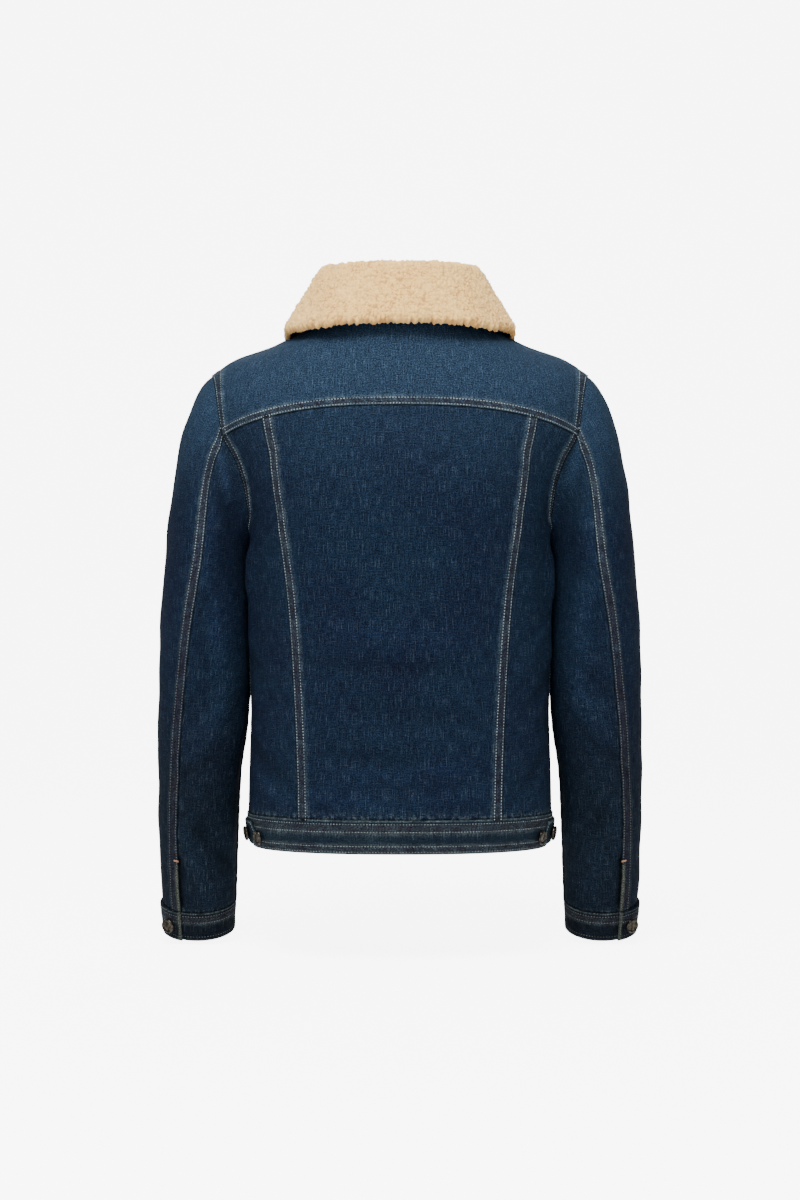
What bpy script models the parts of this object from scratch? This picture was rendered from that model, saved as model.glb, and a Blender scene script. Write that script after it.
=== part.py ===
"""A denim jacket with a turned-down shearling collar, filled out as if worn.

Metres, +Z up. The wearer faces -Y and the wearer's left is +X. The origin is the middle of the neck
opening at the height of the nape seam, where the wearer's shoulders carry the jacket.

The shell is worked out as one surface, like a quilt of welded panels: the body from superellipse
sections, the yoke and the upper fronts as quarter ellipses that roll up to the shoulder ridge, and each
sleeve as a loft from the armhole to its rings. The quilt is then cut apart at the seams, and each panel
gets its wall. Bands, tabs, placket, collar and buttons are made from points of the same surface.
"""

import math
from collections import namedtuple

import bmesh
import bpy
import numpy as np
from mathutils import Vector

# ---------------------------------------------------------------- driving sizes, in metres
DENIM = 0.0016  # wall of one layer of heavy denim
BAND = 0.0026  # wall of a folded band: hem, cuffs, placket and tabs
PILE = 0.0105  # skin and pile of the shearling
UNDER_COLLAR = 0.0015
SEAM = 0.0004  # gap between two pieces at a seam
BAND_PROUD = 0.0009  # how far a band's face stands out of the panel above it

Z_HEM = -0.621
Z_BAND = -0.585  # seam between the body and the hem band
NECK_HALF_WIDTH = 0.082
NECK_BACK = 0.083
NECK_FRONT = 0.1055
TIP_X = 0.2175  # the shoulder tip, where ridge and armhole meet
PLACKET_HALF = 0.0185
UNDERARM_ROW = 0.735  # share of the way from hem band to yoke where the armhole ends
YOKE_AT_CENTRE = -0.1168
YOKE_DROP = 0.0345
Z_FRONT_CHEST = YOKE_AT_CENTRE - YOKE_DROP  # where the upper front starts to roll back to the shoulder
YOKE_POWER = 2.17

# ---------------------------------------------------------------- tables, a row for each section
Section = namedtuple("Section", "z half_width back front")
BODY = (
    Section(-0.6210, 0.1700, 0.1215, 0.1295),
    Section(-0.6030, 0.1750, 0.1225, 0.1310),
    Section(-0.5850, 0.1768, 0.1225, 0.1315),
    Section(-0.5480, 0.1765, 0.1210, 0.1320),
    Section(-0.5000, 0.1752, 0.1220, 0.1340),
    Section(-0.4400, 0.1738, 0.1245, 0.1360),
    Section(-0.3600, 0.1733, 0.1290, 0.1385),
    Section(-0.2900, 0.1737, 0.1330, 0.1375),
    Section(-0.2500, 0.1755, 0.1345, 0.1350),
    Section(-0.2100, 0.1830, 0.1345, 0.1310),
    Section(-0.1800, 0.1940, 0.1330, 0.1265),
    Section(-0.1480, 0.2130, 0.1300, 0.1200),
    Section(-0.1160, 0.2280, 0.1265, 0.1130),
)
BODY_POWER = 2.4  # superellipse power of the body's sections

Ridge = namedtuple("Ridge", "x z")
RIDGE = (
    Ridge(0.000, 0.0379),
    Ridge(0.008, 0.0374),
    Ridge(0.020, 0.0344),
    Ridge(0.040, 0.0248),
    Ridge(0.060, 0.0111),
    Ridge(0.082, -0.0040),
    Ridge(0.146, -0.0415),
    Ridge(0.192, -0.0582),
    Ridge(0.2175, -0.0745),
)

Princess = namedtuple("Princess", "row x")  # back seam: share of the way up to the yoke, distance from centre
PRINCESS = (
    Princess(0.00, 0.1120),
    Princess(0.15, 0.1135),
    Princess(0.35, 0.1175),
    Princess(0.55, 0.1240),
    Princess(0.75, 0.1370),
    Princess(0.90, 0.1500),
    Princess(1.00, 0.1565),
)

Armhole = namedtuple("Armhole", "rise back front")  # angle of the armhole edge on the section, in degrees
ARMHOLE = (
    Armhole(0.00, 90.0, 90.0),
    Armhole(0.07, 83.4, 82.8),
    Armhole(0.25, 76.4, 75.5),
    Armhole(0.50, 72.2, 70.7),
    Armhole(0.75, 70.1, 67.9),
    Armhole(1.00, 69.3, 65.5),
)

Ring = namedtuple("Ring", "z x y half_width half_depth tilt seam")  # seam: angle of the back seam
SLEEVE = (
    Ring(-0.300, 0.2266, -0.004, 0.0490, 0.0660, 0.0, 86.0),
    Ring(-0.360, 0.2285, -0.008, 0.0522, 0.0610, 1.0, 76.0),
    Ring(-0.420, 0.2294, -0.010, 0.0534, 0.0570, 4.0, 69.0),
    Ring(-0.480, 0.2319, -0.013, 0.0522, 0.0530, 9.0, 64.0),
    Ring(-0.540, 0.2364, -0.019, 0.0482, 0.0490, 13.0, 62.0),
    Ring(-0.600, 0.2386, -0.030, 0.0468, 0.0455, 15.0, 61.0),
    Ring(-0.660, 0.2398, -0.045, 0.0450, 0.0420, 16.5, 61.0),
    Ring(-0.696, 0.2400, -0.056, 0.0432, 0.0395, 17.5, 62.0),
    Ring(-0.728, 0.2397, -0.066, 0.0412, 0.0385, 18.0, 63.0),
)
Z_CUFF = -0.696  # sleeve ring of the seam with the cuff
Z_WRIST = -0.728

Fold = namedtuple("Fold", "start end width depth")  # soft troughs (depth < 0) and ridges, on the left sleeve
LARGE_FOLDS = (
    Fold((0.190, 0.055, -0.215), (0.205, 0.070, -0.330), 0.014, -0.0045),
    Fold((0.215, 0.075, -0.235), (0.232, 0.070, -0.320), 0.016, 0.0030),
    Fold((0.200, 0.040, -0.560), (0.250, 0.030, -0.640), 0.016, -0.0030),
    Fold((0.190, 0.030, -0.615), (0.235, 0.020, -0.675), 0.014, 0.0028),
    Fold((0.205, -0.060, -0.450), (0.275, -0.040, -0.470), 0.014, -0.0040),
    Fold((0.195, -0.065, -0.490), (0.270, -0.050, -0.515), 0.013, -0.0035),
)

CollarLine = namedtuple("CollarLine", "s stand fall_x fall_y fall_z")  # s: 0 at the nape, 1 at the front end
COLLAR = (
    CollarLine(0.00, 0.0265, 0.0000, 0.1195, -0.0275),
    CollarLine(0.20, 0.0290, 0.0610, 0.1095, -0.0290),
    CollarLine(0.38, 0.0358, 0.1080, 0.0730, -0.0325),
    CollarLine(0.52, 0.0345, 0.1300, 0.0260, -0.0275),
    CollarLine(0.70, 0.0280, 0.1235, -0.0680, -0.0420),
    CollarLine(0.86, 0.0230, 0.1010, -0.1190, -0.0850),
    CollarLine(1.00, 0.0190, 0.0660, -0.1390, -0.1220),
)
ROLL_RADIUS = 0.0060

BUTTON_RADIUS = 0.0085
BUTTON_THICK = 0.0026
SHANK_RADIUS = 0.0034
SHANK_LENGTH = 0.0022
FRONT_BUTTONS = 6

DENIM_BLUE = (0.016, 0.045, 0.095)
SHEARLING_CREAM = (0.78, 0.60, 0.40)
ANTIQUE_METAL = (0.075, 0.068, 0.058)


# ---------------------------------------------------------------- curves through tables
def through(xs, ys, at):
    """Smooth curve through a table's points that never overshoots between them: a monotone cubic."""
    xs, ys, at = np.asarray(xs, float), np.asarray(ys, float), np.asarray(at, float)
    step = np.diff(xs)
    slope = np.diff(ys) / step
    both = slope[:-1] * slope[1:]
    middle = np.where(both > 0, 2 * both / (slope[:-1] + slope[1:] + 1e-30), 0)
    tangent = np.concatenate([slope[:1], middle, slope[-1:]])
    i = np.clip(np.searchsorted(xs, at) - 1, 0, len(step) - 1)
    t = np.clip((at - xs[i]) / step[i], 0, 1)
    return (
        ys[i] * (1 + 2 * t) * (1 - t) ** 2
        + step[i] * tangent[i] * t * (1 - t) ** 2
        + ys[i + 1] * t * t * (3 - 2 * t)
        - step[i] * tangent[i + 1] * t * t * (1 - t)
    )


def column(table, key, value, at):
    """The named column of a table at places of its key column."""
    rows = sorted(table, key=lambda row: getattr(row, key))
    return through([getattr(r, key) for r in rows], [getattr(r, value) for r in rows], at)


def unit(v):
    return v / np.maximum(np.linalg.norm(v, axis=-1, keepdims=True), 1e-12)


# ---------------------------------------------------------------- the body's surface
def section_point(angle, z, side):
    """A point of the body's superellipse section: angle 0 is the centre line and 90 degrees the side.
    side is 1 at the back and -1 at the front."""
    half_width = column(BODY, "z", "half_width", z)
    depth = column(BODY, "z", "back" if side > 0 else "front", z)
    power = 2 / BODY_POWER
    x = half_width * np.sin(angle) ** power
    y = side * depth * np.cos(np.minimum(angle, math.pi / 2 - 1e-9)) ** power
    return np.stack(np.broadcast_arrays(x, y, z), -1)


def angle_at(x, z):
    """The section's angle at a distance x from the centre line."""
    half_width = column(BODY, "z", "half_width", z)
    return np.arcsin(np.clip(x / half_width, 0, 1) ** (BODY_POWER / 2))


def chest_line(angle, side):
    """Height of the line where the body starts to roll up to the shoulder: the yoke seam at the back."""
    if side > 0:
        return YOKE_AT_CENTRE - YOKE_DROP * np.sin(angle) ** YOKE_POWER
    return np.full_like(angle, Z_FRONT_CHEST)


def armhole_angle(row, side):
    rise = np.clip((row - UNDERARM_ROW) / (1 - UNDERARM_ROW), 0, 1)
    return np.radians(column(ARMHOLE, "rise", "back" if side > 0 else "front", rise))


def underarm_pit(points):
    """Pulls the cloth in under the arm, so that body and sleeve meet at a fold and not back to back."""
    near = ((points[..., 2] - Z_UNDERARM) / 0.022) ** 2 + (points[..., 1] / 0.034) ** 2
    pull = 0.0085 * np.exp(-near)
    points = points.copy()
    points[..., 0] -= pull * np.sign(points[..., 0])
    return points


def lower_body(rows, angles, side):
    """Body between hem band and chest line. rows go 0 to 1 upwards; angles has a row for each of them."""
    z = Z_BAND + (chest_line(angles, side) - Z_BAND) * rows[:, None]
    return underarm_pit(section_point(angles, z, side))


Z_UNDERARM = float(Z_BAND + (chest_line(np.array(math.pi / 2), 1) - Z_BAND) * UNDERARM_ROW)


def top_places(foot, start):
    """Distance from the centre line of the top end of every column: from start to the side of the neck along
    the neckline, then out to the shoulder tip along the ridge."""
    x = foot[:, 0]
    neck, tip = x[NECK_COLUMNS], x[-1]
    on_neck = start + (NECK_HALF_WIDTH - start) * (x - x[0]) / (neck - x[0])
    on_ridge = NECK_HALF_WIDTH + (TIP_X - NECK_HALF_WIDTH) * (x - neck) / (tip - neck)
    return np.where(np.arange(len(x)) <= NECK_COLUMNS, on_neck, on_ridge)


def upper_body(rises, foot, side, top_x):
    """From the chest line, over the shoulder's roll, to the ridge or the neckline: each column is a quarter of
    an ellipse that stands on its foot point. rises go 0 to 1 upwards."""
    ridge = column(RIDGE, "x", "z", np.minimum(top_x, TIP_X))
    depth = NECK_BACK if side > 0 else NECK_FRONT
    neck_y = depth * np.sqrt(np.clip(1 - (top_x / NECK_HALF_WIDTH) ** 2, 0, 1))
    end = np.arccos(np.clip(neck_y / np.abs(foot[:, 1]), 0, 1))
    turn = rises[:, None] * end
    x = foot[:, 0] + (top_x - foot[:, 0]) * rises[:, None]
    y = foot[:, 1] * np.cos(turn)
    z = foot[:, 2] + (ridge - foot[:, 2]) * np.sin(turn)
    return np.stack(np.broadcast_arrays(x, y, z), -1)


def shares(count, start=0.0, stop=1.0):
    return np.linspace(start, stop, count + 1)


NECK_COLUMNS, SHOULDER_COLUMNS, SIDE_COLUMNS = 3, 2, 3
NECK_SHARE = 0.372  # where the column of the neck's corner runs, between the centre and the princess seam
LOW_ROWS, ARM_ROWS, ROLL_ROWS = 7, len(ARMHOLE) - 1, 4


def rows_up():
    """Row shares from hem band to chest line: one row at the underarm, and above it one for each row of the
    armhole's table, which are close together where the armhole is round."""
    rises = np.array([row.rise for row in ARMHOLE[1:]])
    return np.concatenate([shares(LOW_ROWS, 0, UNDERARM_ROW), UNDERARM_ROW + (1 - UNDERARM_ROW) * rises])


def back_angles(rows):
    """Column angles of the back, centre to side, that follow the princess seam. The first columns end below the
    side of the neck, so that the neckline's corner is a vertex."""
    z = Z_BAND + (YOKE_AT_CENTRE - Z_BAND) * rows
    seam = angle_at(column(PRINCESS, "row", "x", rows), z)
    neck = NECK_SHARE * np.sin(shares(NECK_COLUMNS) * math.pi / 2) ** 1.2
    centre = np.concatenate([neck, shares(SHOULDER_COLUMNS, NECK_SHARE, 1)[1:]])
    edge = armhole_angle(rows, 1)
    side = shares(SIDE_COLUMNS)[1:]
    return np.concatenate([seam[:, None] * centre, seam[:, None] + (edge - seam)[:, None] * side], 1)


def front_angles(rows):
    """Column angles of a front, from the placket's edge to the side."""
    z = Z_BAND + (Z_FRONT_CHEST - Z_BAND) * rows
    start = angle_at(np.full_like(rows, PLACKET_HALF), z)
    edge = armhole_angle(rows, -1)
    steps = np.concatenate([[0.0, 0.105, 0.19, 0.245], shares(5, 0.245, 1)[1:]])
    return start[:, None] + (edge - start)[:, None] * steps


def half_patches():
    """The wearer's left half of the body: back, yoke, front and upper front, as grids of points."""
    rows, rises = rows_up(), shares(ROLL_ROWS)
    back = lower_body(rows, back_angles(rows), 1)
    front = lower_body(rows, front_angles(rows), -1)
    back_top = top_places(back[-1], 0.0)
    front_top = top_places(front[-1], PLACKET_HALF)
    front_top[NECK_COLUMNS:] = back_top[NECK_COLUMNS:]
    yoke = upper_body(rises, back[-1], 1, back_top)
    upper_front = upper_body(rises, front[-1], -1, front_top)
    return {"back": back, "yoke": yoke, "front": front, "upper_front": upper_front}


# ---------------------------------------------------------------- the sleeves' surface
def armhole_loop(patches):
    """Armhole points from the underarm, up the back to the shoulder tip and down the front to the underarm."""
    back = patches["back"][LOW_ROWS:, -1]
    yoke = patches["yoke"][1:, -1]
    front_top = patches["upper_front"][:-1, -1][::-1]
    front = patches["front"][LOW_ROWS:-1, -1][::-1]
    return np.concatenate([back, yoke, front_top, front])


def ring_values(z):
    return {name: column(SLEEVE, "z", name, z) for name in Ring._fields[1:]}


def ring_angles(seam):
    """Angle of each sleeve column on its ring: 180 degrees faces the body, 90 the back and 0 outwards."""
    under = 180 + (seam[..., None] - 180) * shares(ARM_ROWS)
    over = seam[..., None] * (1 - shares(ROLL_ROWS)[1:])
    front = -82 * shares(ROLL_ROWS)[1:]
    inner = -82 - 98 * shares(ARM_ROWS)[1:]
    flat = np.ones(seam.shape + (1,))
    return np.radians(np.concatenate([under, over, front * flat, inner * flat], -1))


def ring_points(z):
    """Points of the sleeve's rings at heights z: ellipses, tilted forwards by the bend of the arm."""
    z = np.atleast_1d(z)
    v = ring_values(z)
    angle = ring_angles(v["seam"])
    tilt = np.radians(v["tilt"])[:, None]
    across = v["half_width"][:, None] * np.cos(angle)
    deep = v["half_depth"][:, None] * np.sin(angle)
    return np.stack(
        [v["x"][:, None] + across, v["y"][:, None] + deep * np.cos(tilt), z[:, None] - deep * np.sin(tilt)], -1
    )


def sleeve_cap(loop, shares_down):
    """Sleeve from the armhole to its first ring: a cubic from each armhole point, that leaves the seam
    outwards and arrives straight down."""
    top = SLEEVE[0].z
    ring = ring_points(top)[0]
    chord = ring - loop
    length = np.linalg.norm(chord, axis=1, keepdims=True)
    rise = np.clip((loop[:, 2:] - Z_UNDERARM) / (RIDGE[-1].z - Z_UNDERARM), 0, 1)
    outwards = np.array([1.0, 0.0, 0.0]) * (1.15 - 0.35 * rise)
    leave = unit(0.6 * unit(chord) + outwards) * length * (0.8 - 0.2 * rise)
    arrive = np.array([0.2, 0.0, -0.2]) * length * rise - np.array([0.0, 0.0, 1.0]) * length
    t = shares_down[:, None, None]
    return (
        loop * (1 + 2 * t) * (1 - t) ** 2
        + leave * t * (1 - t) ** 2
        + ring * t * t * (3 - 2 * t)
        - arrive * t * t * (1 - t)
    )


CAP_ROWS = 4


def sleeve_patch(patches):
    """The whole left sleeve. Its first and last columns are both the underarm seam."""
    cap = sleeve_cap(armhole_loop(patches), shares(CAP_ROWS))
    tube = ring_points(np.linspace(SLEEVE[0].z, Z_CUFF, 9))
    return np.concatenate([cap, tube[1:]])[::-1, ::-1]


# ---------------------------------------------------------------- folds
def folded(points, normals, folds):
    """Moves points along their normals by each fold: a soft trough or ridge round the line start to end."""
    moved = points.copy()
    for fold in folds:
        start, end = np.array(fold.start), np.array(fold.end)
        line = end - start
        along = np.clip((points - start) @ line / (line @ line), 0, 1)
        away = np.linalg.norm(points - start - along[..., None] * line, axis=-1)
        moved += normals * (fold.depth * np.exp(-((away / fold.width) ** 2)))[..., None]
    return moved


# ---------------------------------------------------------------- the quilt and its panels
def mirrored(grid):
    """A grid for the wearer's right half. Its columns run the other way, so that its faces still point out."""
    return (grid * [-1, 1, 1])[:, ::-1]


def quilt_pieces():
    """Every panel's grid of surface points, by name. Neighbours share the points of their seam."""
    half = half_patches()
    sleeve = sleeve_patch(half)
    princess = NECK_COLUMNS + SHOULDER_COLUMNS
    back, yoke = half["back"], half["yoke"]
    front = np.concatenate([half["front"], half["upper_front"][1:]])
    both = {
        "back_side": back[:, princess:][:, ::-1],
        "front": front,
        "sleeve_under": sleeve[:, -ARM_ROWS - 1 :],
        "sleeve_upper": sleeve[:, :-ARM_ROWS],
    }
    pieces = {
        "back_yoke": np.concatenate([yoke[:, ::-1], mirrored(yoke[:, ::-1])[:, 1:]], 1),
        "back_centre": np.concatenate([back[:, princess::-1], mirrored(back[:, princess::-1])[:, 1:]], 1),
    }
    for name, grid in both.items():
        pieces[name + "_left"] = grid
        pieces[name + "_right"] = mirrored(grid)
    left, right = front[:, 0], pieces["front_right"][:, -1]
    middle = (left + right) / 2
    middle[:, 1] -= 0.0004
    pieces["placket_under"] = np.stack([right, middle, left], 1)
    return pieces


def welded_normals(pieces):
    """Normals at every grid point, averaged over all the panels that meet there, so that the walls of two
    panels are parallel along their seam."""
    quilt = bmesh.new()
    owners = {}
    for name, grid in pieces.items():
        vertices = [quilt.verts.new(p) for p in grid.reshape(-1, 3)]
        owners[name] = (vertices, grid.shape)
        loft_faces(quilt, vertices, *grid.shape[:2])
    tree = {}
    for name, (vertices, _) in owners.items():
        for v in vertices:
            tree.setdefault(tuple(round(c * 20000) for c in v.co), []).append(v)
    quilt.normal_update()
    normals = {name: np.zeros((len(vs), 3)) for name, (vs, _) in owners.items()}
    total = {place: sum((v.normal for v in vs), Vector()) for place, vs in tree.items()}
    for name, (vertices, shape) in owners.items():
        for i, v in enumerate(vertices):
            normals[name][i] = total[tuple(round(c * 20000) for c in v.co)].normalized()
        normals[name] = normals[name].reshape(shape)
    quilt.free()
    return normals


def loft_faces(mesh, vertices, rows, columns):
    """Faces of a grid of vertices. Seen from outside, columns run to the right and rows upwards. The cells are
    bent, so each is two triangles, and both faces of a wall are cut along the same diagonal."""
    for r in range(rows - 1):
        for c in range(columns - 1):
            low, high = r * columns + c, (r + 1) * columns + c
            mesh.faces.new([vertices[low], vertices[low + 1], vertices[high + 1]])
            mesh.faces.new([vertices[low], vertices[high + 1], vertices[high]])


def shrunk(grid, normals):
    """Moves a panel's four edges inwards along the surface by half the seam's gap."""
    grid = grid.copy()
    for line, inner in ((0, 1), (-1, -2)):
        grid[line] += SEAM / 2 * unit(tangential(grid[inner] - grid[line], normals[line]))
    for line, inner in ((0, 1), (-1, -2)):
        grid[:, line] += SEAM / 2 * unit(tangential(grid[:, inner] - grid[:, line], normals[:, line]))
    return grid


def tangential(step, normal):
    return step - normal * (step * normal).sum(-1, keepdims=True)


def wall_object(name, outer, inner, material, collection):
    """A closed wall between two grids of points with the same rows and columns: both faces and the rim.
    Solidify isn't used here, because it tilts a panel's edge by the panel's own edge normals, and
    neighbouring walls would cross at a seam."""
    rows, columns = outer.shape[:2]
    mesh = bmesh.new()
    out = [mesh.verts.new(p) for p in outer.reshape(-1, 3)]
    back = [mesh.verts.new(p) for p in inner.reshape(-1, 3)]
    loft_faces(mesh, out, rows, columns)
    loft_faces(mesh, back, rows, columns)
    rim = [c for c in range(columns)]
    rim += [r * columns + columns - 1 for r in range(1, rows)]
    rim += [(rows - 1) * columns + c for c in range(columns - 2, -1, -1)]
    rim += [r * columns for r in range(rows - 2, 0, -1)]
    for i, j in zip(rim, rim[1:] + rim[:1]):
        rim_faces(mesh, out, back, i, j)
    bmesh.ops.recalc_face_normals(mesh, faces=mesh.faces)
    return finished(name, mesh, material, collection)


def rim_faces(mesh, out, back, i, j):
    """The rim between two points. Its diagonal leaves the outer point that lies further down, so that the rims
    of two neighbours, which may be twisted, are cut alike and stay apart."""
    step = out[j].co - out[i].co
    slant = step.z + 0.31 * step.y + 0.17 * (abs(out[j].co.x) - abs(out[i].co.x))
    if slant > 0:
        mesh.faces.new([out[j], out[i], back[j]])
        mesh.faces.new([out[i], back[i], back[j]])
    else:
        mesh.faces.new([out[j], out[i], back[i]])
        mesh.faces.new([out[j], back[i], back[j]])


def finished(name, mesh, material, collection):
    data = bpy.data.meshes.new(name)
    mesh.to_mesh(data)
    mesh.free()
    data.materials.append(material)
    data.shade_smooth()
    data.set_sharp_from_angle(angle=math.radians(40))
    obj = bpy.data.objects.new(name, data)
    collection.objects.link(obj)
    return obj


def build_panels(pieces, normals, material, collection):
    for name, grid in pieces.items():
        outer = shrunk(grid, normals[name])
        wall_object(name, outer, outer - DENIM * normals[name], material, collection)


# ---------------------------------------------------------------- bands
def band_loop(z, angles):
    """Points of the body's section at height z. Angles run from 0 at the centre back, through 90 degrees at
    the wearer's left side, to 180 at the centre front; negative ones are on the right."""
    angles = (angles + math.pi) % (2 * math.pi) - math.pi
    folded_angle = np.minimum(np.abs(angles), math.pi - np.abs(angles))
    back = section_point(np.maximum(folded_angle, 1e-6), z, 1)
    front = section_point(np.maximum(folded_angle, 1e-6), z, -1)
    points = np.where((np.abs(angles) <= math.pi / 2)[..., None], back, front)
    points[..., 0] *= np.sign(angles + 1e-12)
    return points


def grid_normals(grid):
    """Normals of an open grid from its own points: across the columns times up the rows."""
    across, up = np.gradient(grid, axis=1), np.gradient(grid, axis=0)
    return unit(np.cross(across, up))


def strip(z_low, z_high, rows, angles):
    """A grid round the body between two heights. Its columns run clockwise seen from above, which is to the
    right for someone who looks at it."""
    z = np.linspace(z_low, z_high, rows + 1)[:, None]
    return band_loop(z, np.broadcast_to(angles, (rows + 1, len(angles))))


def layer(name, grid, low, high, material, collection):
    """A wall on a grid, from low to high above it."""
    normals = grid_normals(grid)
    return wall_object(name, grid + normals * high, grid + normals * low, material, collection)


def placket_angle(z):
    return math.pi - float(angle_at(np.array(PLACKET_HALF), np.array(z)))


def build_hem_band(material, collection):
    low, high = Z_HEM, Z_BAND - SEAM
    side = math.radians(90)
    gap = SEAM / 2 / BODY[0].half_width
    end = placket_angle(Z_HEM)
    runs = {
        "hem_band_back": np.linspace(side - gap, gap - side, 21),
        "hem_band_front_left": np.linspace(end - gap, side + gap, 11),
        "hem_band_front_right": np.linspace(-side - gap, end + gap - 2 * math.pi, 13),
    }
    for name, angles in runs.items():
        layer(name, strip(low, high, 2, angles), BAND_PROUD - BAND, BAND_PROUD, material, collection)


TAB_START, TAB_END, TAB_POINT = math.radians(110), math.radians(69.5), math.radians(2.4)
TAB_LOW, TAB_HIGH = -0.6165, -0.5905


def tab_grid():
    """The left waist tab, from the side front round to its pointed end at the side back."""
    rows, columns = 4, 12
    z = np.linspace(TAB_LOW, TAB_HIGH, rows + 1)
    point = TAB_POINT * (1 - np.abs(np.linspace(-1, 1, rows + 1)))
    u = shares(columns)
    angles = TAB_START + (TAB_END - point[:, None] - TAB_START) * u
    return band_loop(z[:, None] + 0 * angles, angles)


def build_tabs(material, collection):
    grid = tab_grid()
    low = BAND_PROUD + SEAM
    for name, points in (("waist_tab_left", grid), ("waist_tab_right", mirrored(grid))):
        layer(name, points, low, low + BAND, material, collection)


CUFF_LAP_EDGE, CUFF_LAP_HIDDEN, CUFF_LAP_BLEND = math.radians(66), math.radians(30), math.radians(52)


CUFF_COLUMNS = 33  # of 12 degrees, so that the points of the lap lie over those of the end below it


def cuff_grid():
    """The left cuff, from its lapped end at the back, over the outside and the front, to the end that lies
    under the lap. Returns the points and how far each stands out of the sleeve's form."""
    turn = np.linspace(CUFF_LAP_EDGE, CUFF_LAP_HIDDEN - 2 * math.pi, CUFF_COLUMNS + 1)
    rows = 2
    z = np.linspace(Z_WRIST, Z_CUFF - SEAM, rows + 1)
    v = ring_values(z)
    tilt = np.radians(v["tilt"])[:, None]
    across = v["half_width"][:, None] * np.cos(turn)
    deep = v["half_depth"][:, None] * np.sin(turn)
    grid = np.stack(
        [v["x"][:, None] + across, v["y"][:, None] + deep * np.cos(tilt), z[:, None] - deep * np.sin(tilt)], -1
    )
    past = np.clip((CUFF_LAP_HIDDEN - turn) / CUFF_LAP_BLEND, 0, 1)
    lift = (BAND + SEAM) * (1 - past * past * (3 - 2 * past))
    return grid[:, ::-1], lift[::-1]


def build_cuffs(material, collection):
    grid, lift = cuff_grid()
    out = grid_normals(grid)
    low = (lift + BAND_PROUD - BAND)[None, :, None]
    high = low + BAND
    for name, sign in (("cuff_left", 1), ("cuff_right", -1)):
        outer, inner = grid + out * high, grid + out * low
        if sign < 0:
            outer, inner = mirrored(outer), mirrored(inner)
        wall_object(name, outer, inner, material, collection)


def placket_grid():
    """The left front's buttoned strip: the line of the front's first column, spread to its width."""
    half = half_patches()
    hem = strip(Z_HEM + SEAM, Z_BAND, 1, np.array([placket_angle(Z_BAND)]))[:1]
    edge = np.concatenate([hem, half["front"][:, :1], half["upper_front"][1:, :1]])[:, 0]
    reach = PLACKET_HALF + 0.003
    lines = []
    for x in (-reach, 0.0, reach):
        line = edge.copy()
        line[:, 0] = x
        line[:, 1] -= 0.0012 * (1 - (x / reach) ** 2)
        lines.append(line)
    grid = np.stack(lines, 1)
    grid[-1, :, 2] -= 0.0015
    return grid


PLACKET_CLEAR = 0.0016  # above the hem band's face, which stands proud of the fronts


def build_placket(material, collection):
    layer("front_placket", placket_grid(), PLACKET_CLEAR, PLACKET_CLEAR + BAND, material, collection)


# ---------------------------------------------------------------- collar
def neck_edge():
    """The panels' edge round the neck, which the collar's foot stands on: from the nape round the wearer's left
    to the placket, with a point in the middle of every step. Also each point's share of the way."""
    half = half_patches()
    back, front = half["yoke"][-1, : NECK_COLUMNS + 1], half["upper_front"][-1, NECK_COLUMNS::-1]
    corners = np.concatenate([back, front[1:]])
    edge = np.insert(corners[1:], range(len(corners) - 1), (corners[1:] + corners[:-1]) / 2, axis=0)
    edge = np.concatenate([corners[:1], edge])
    length = np.concatenate([[0], np.cumsum(np.linalg.norm(np.diff(edge, axis=0), axis=1))])
    return edge, length / length[-1]


def collar_path(rows):
    """The face where shearling and under collar meet: up the stand, over the roll and down the fall.
    Returns the points and the side that the shearling is on, as a grid of normals."""
    left, size = neck_edge()
    foot = np.concatenate([(left * [-1, 1, 1])[:0:-1], left])
    size = np.concatenate([size[:0:-1], size])
    sign = np.sign(foot[:, 0])
    depth = np.where(foot[:, 1] > 0, NECK_BACK, NECK_FRONT)
    out = unit(np.stack([foot[:, 0] / NECK_HALF_WIDTH**2, foot[:, 1] / depth**2, 0 * depth], -1))
    up = np.array([0.0, 0.0, 1.0])
    foot = foot + up * 2 * SEAM
    stand = column(COLLAR, "s", "stand", size)[:, None]
    fall = np.stack([column(COLLAR, "s", name, size) for name in ("fall_x", "fall_y", "fall_z")], -1)
    fall[:, 0] *= sign
    inner = foot + up * stand - out * 0.002
    crown = inner + out * ROLL_RADIUS + up * ROLL_RADIUS
    outer = inner + out * 2.0 * ROLL_RADIUS - up * 0.001
    stations = np.stack(
        [foot, (foot + inner) / 2 - out * 0.0005, inner, crown, outer, (outer + fall) / 2 + out * 0.001, fall]
    )
    grid = smooth_through(stations, rows)
    across, along = np.gradient(grid, axis=1), np.gradient(grid, axis=0)
    return grid, unit(np.cross(across, along))


def smooth_through(stations, count):
    """Catmull-Rom curves through rows of stations, sampled evenly along their length."""
    points = np.concatenate([[2 * stations[0] - stations[1]], stations, [2 * stations[-1] - stations[-2]]])
    fine = []
    for a, b, c, d in zip(points, points[1:], points[2:], points[3:]):
        for t in np.linspace(0, 1, 8, endpoint=False):
            bend = (2 * a - 5 * b + 4 * c - d) * t**2 + (3 * b - a - 3 * c + d) * t**3
            fine.append(0.5 * (2 * b + (c - a) * t + bend))
    fine = np.array(fine + [stations[-1]])
    length = np.concatenate([[0], np.cumsum(np.linalg.norm(np.diff(fine, axis=0), axis=-1).mean(1))])
    at = np.linspace(0, length[-1], count + 1)
    flat = fine.reshape(len(fine), -1)
    sampled = np.stack([np.interp(at, length, flat[:, k]) for k in range(flat.shape[1])], -1)
    return sampled.reshape(count + 1, *fine.shape[1:])


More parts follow.
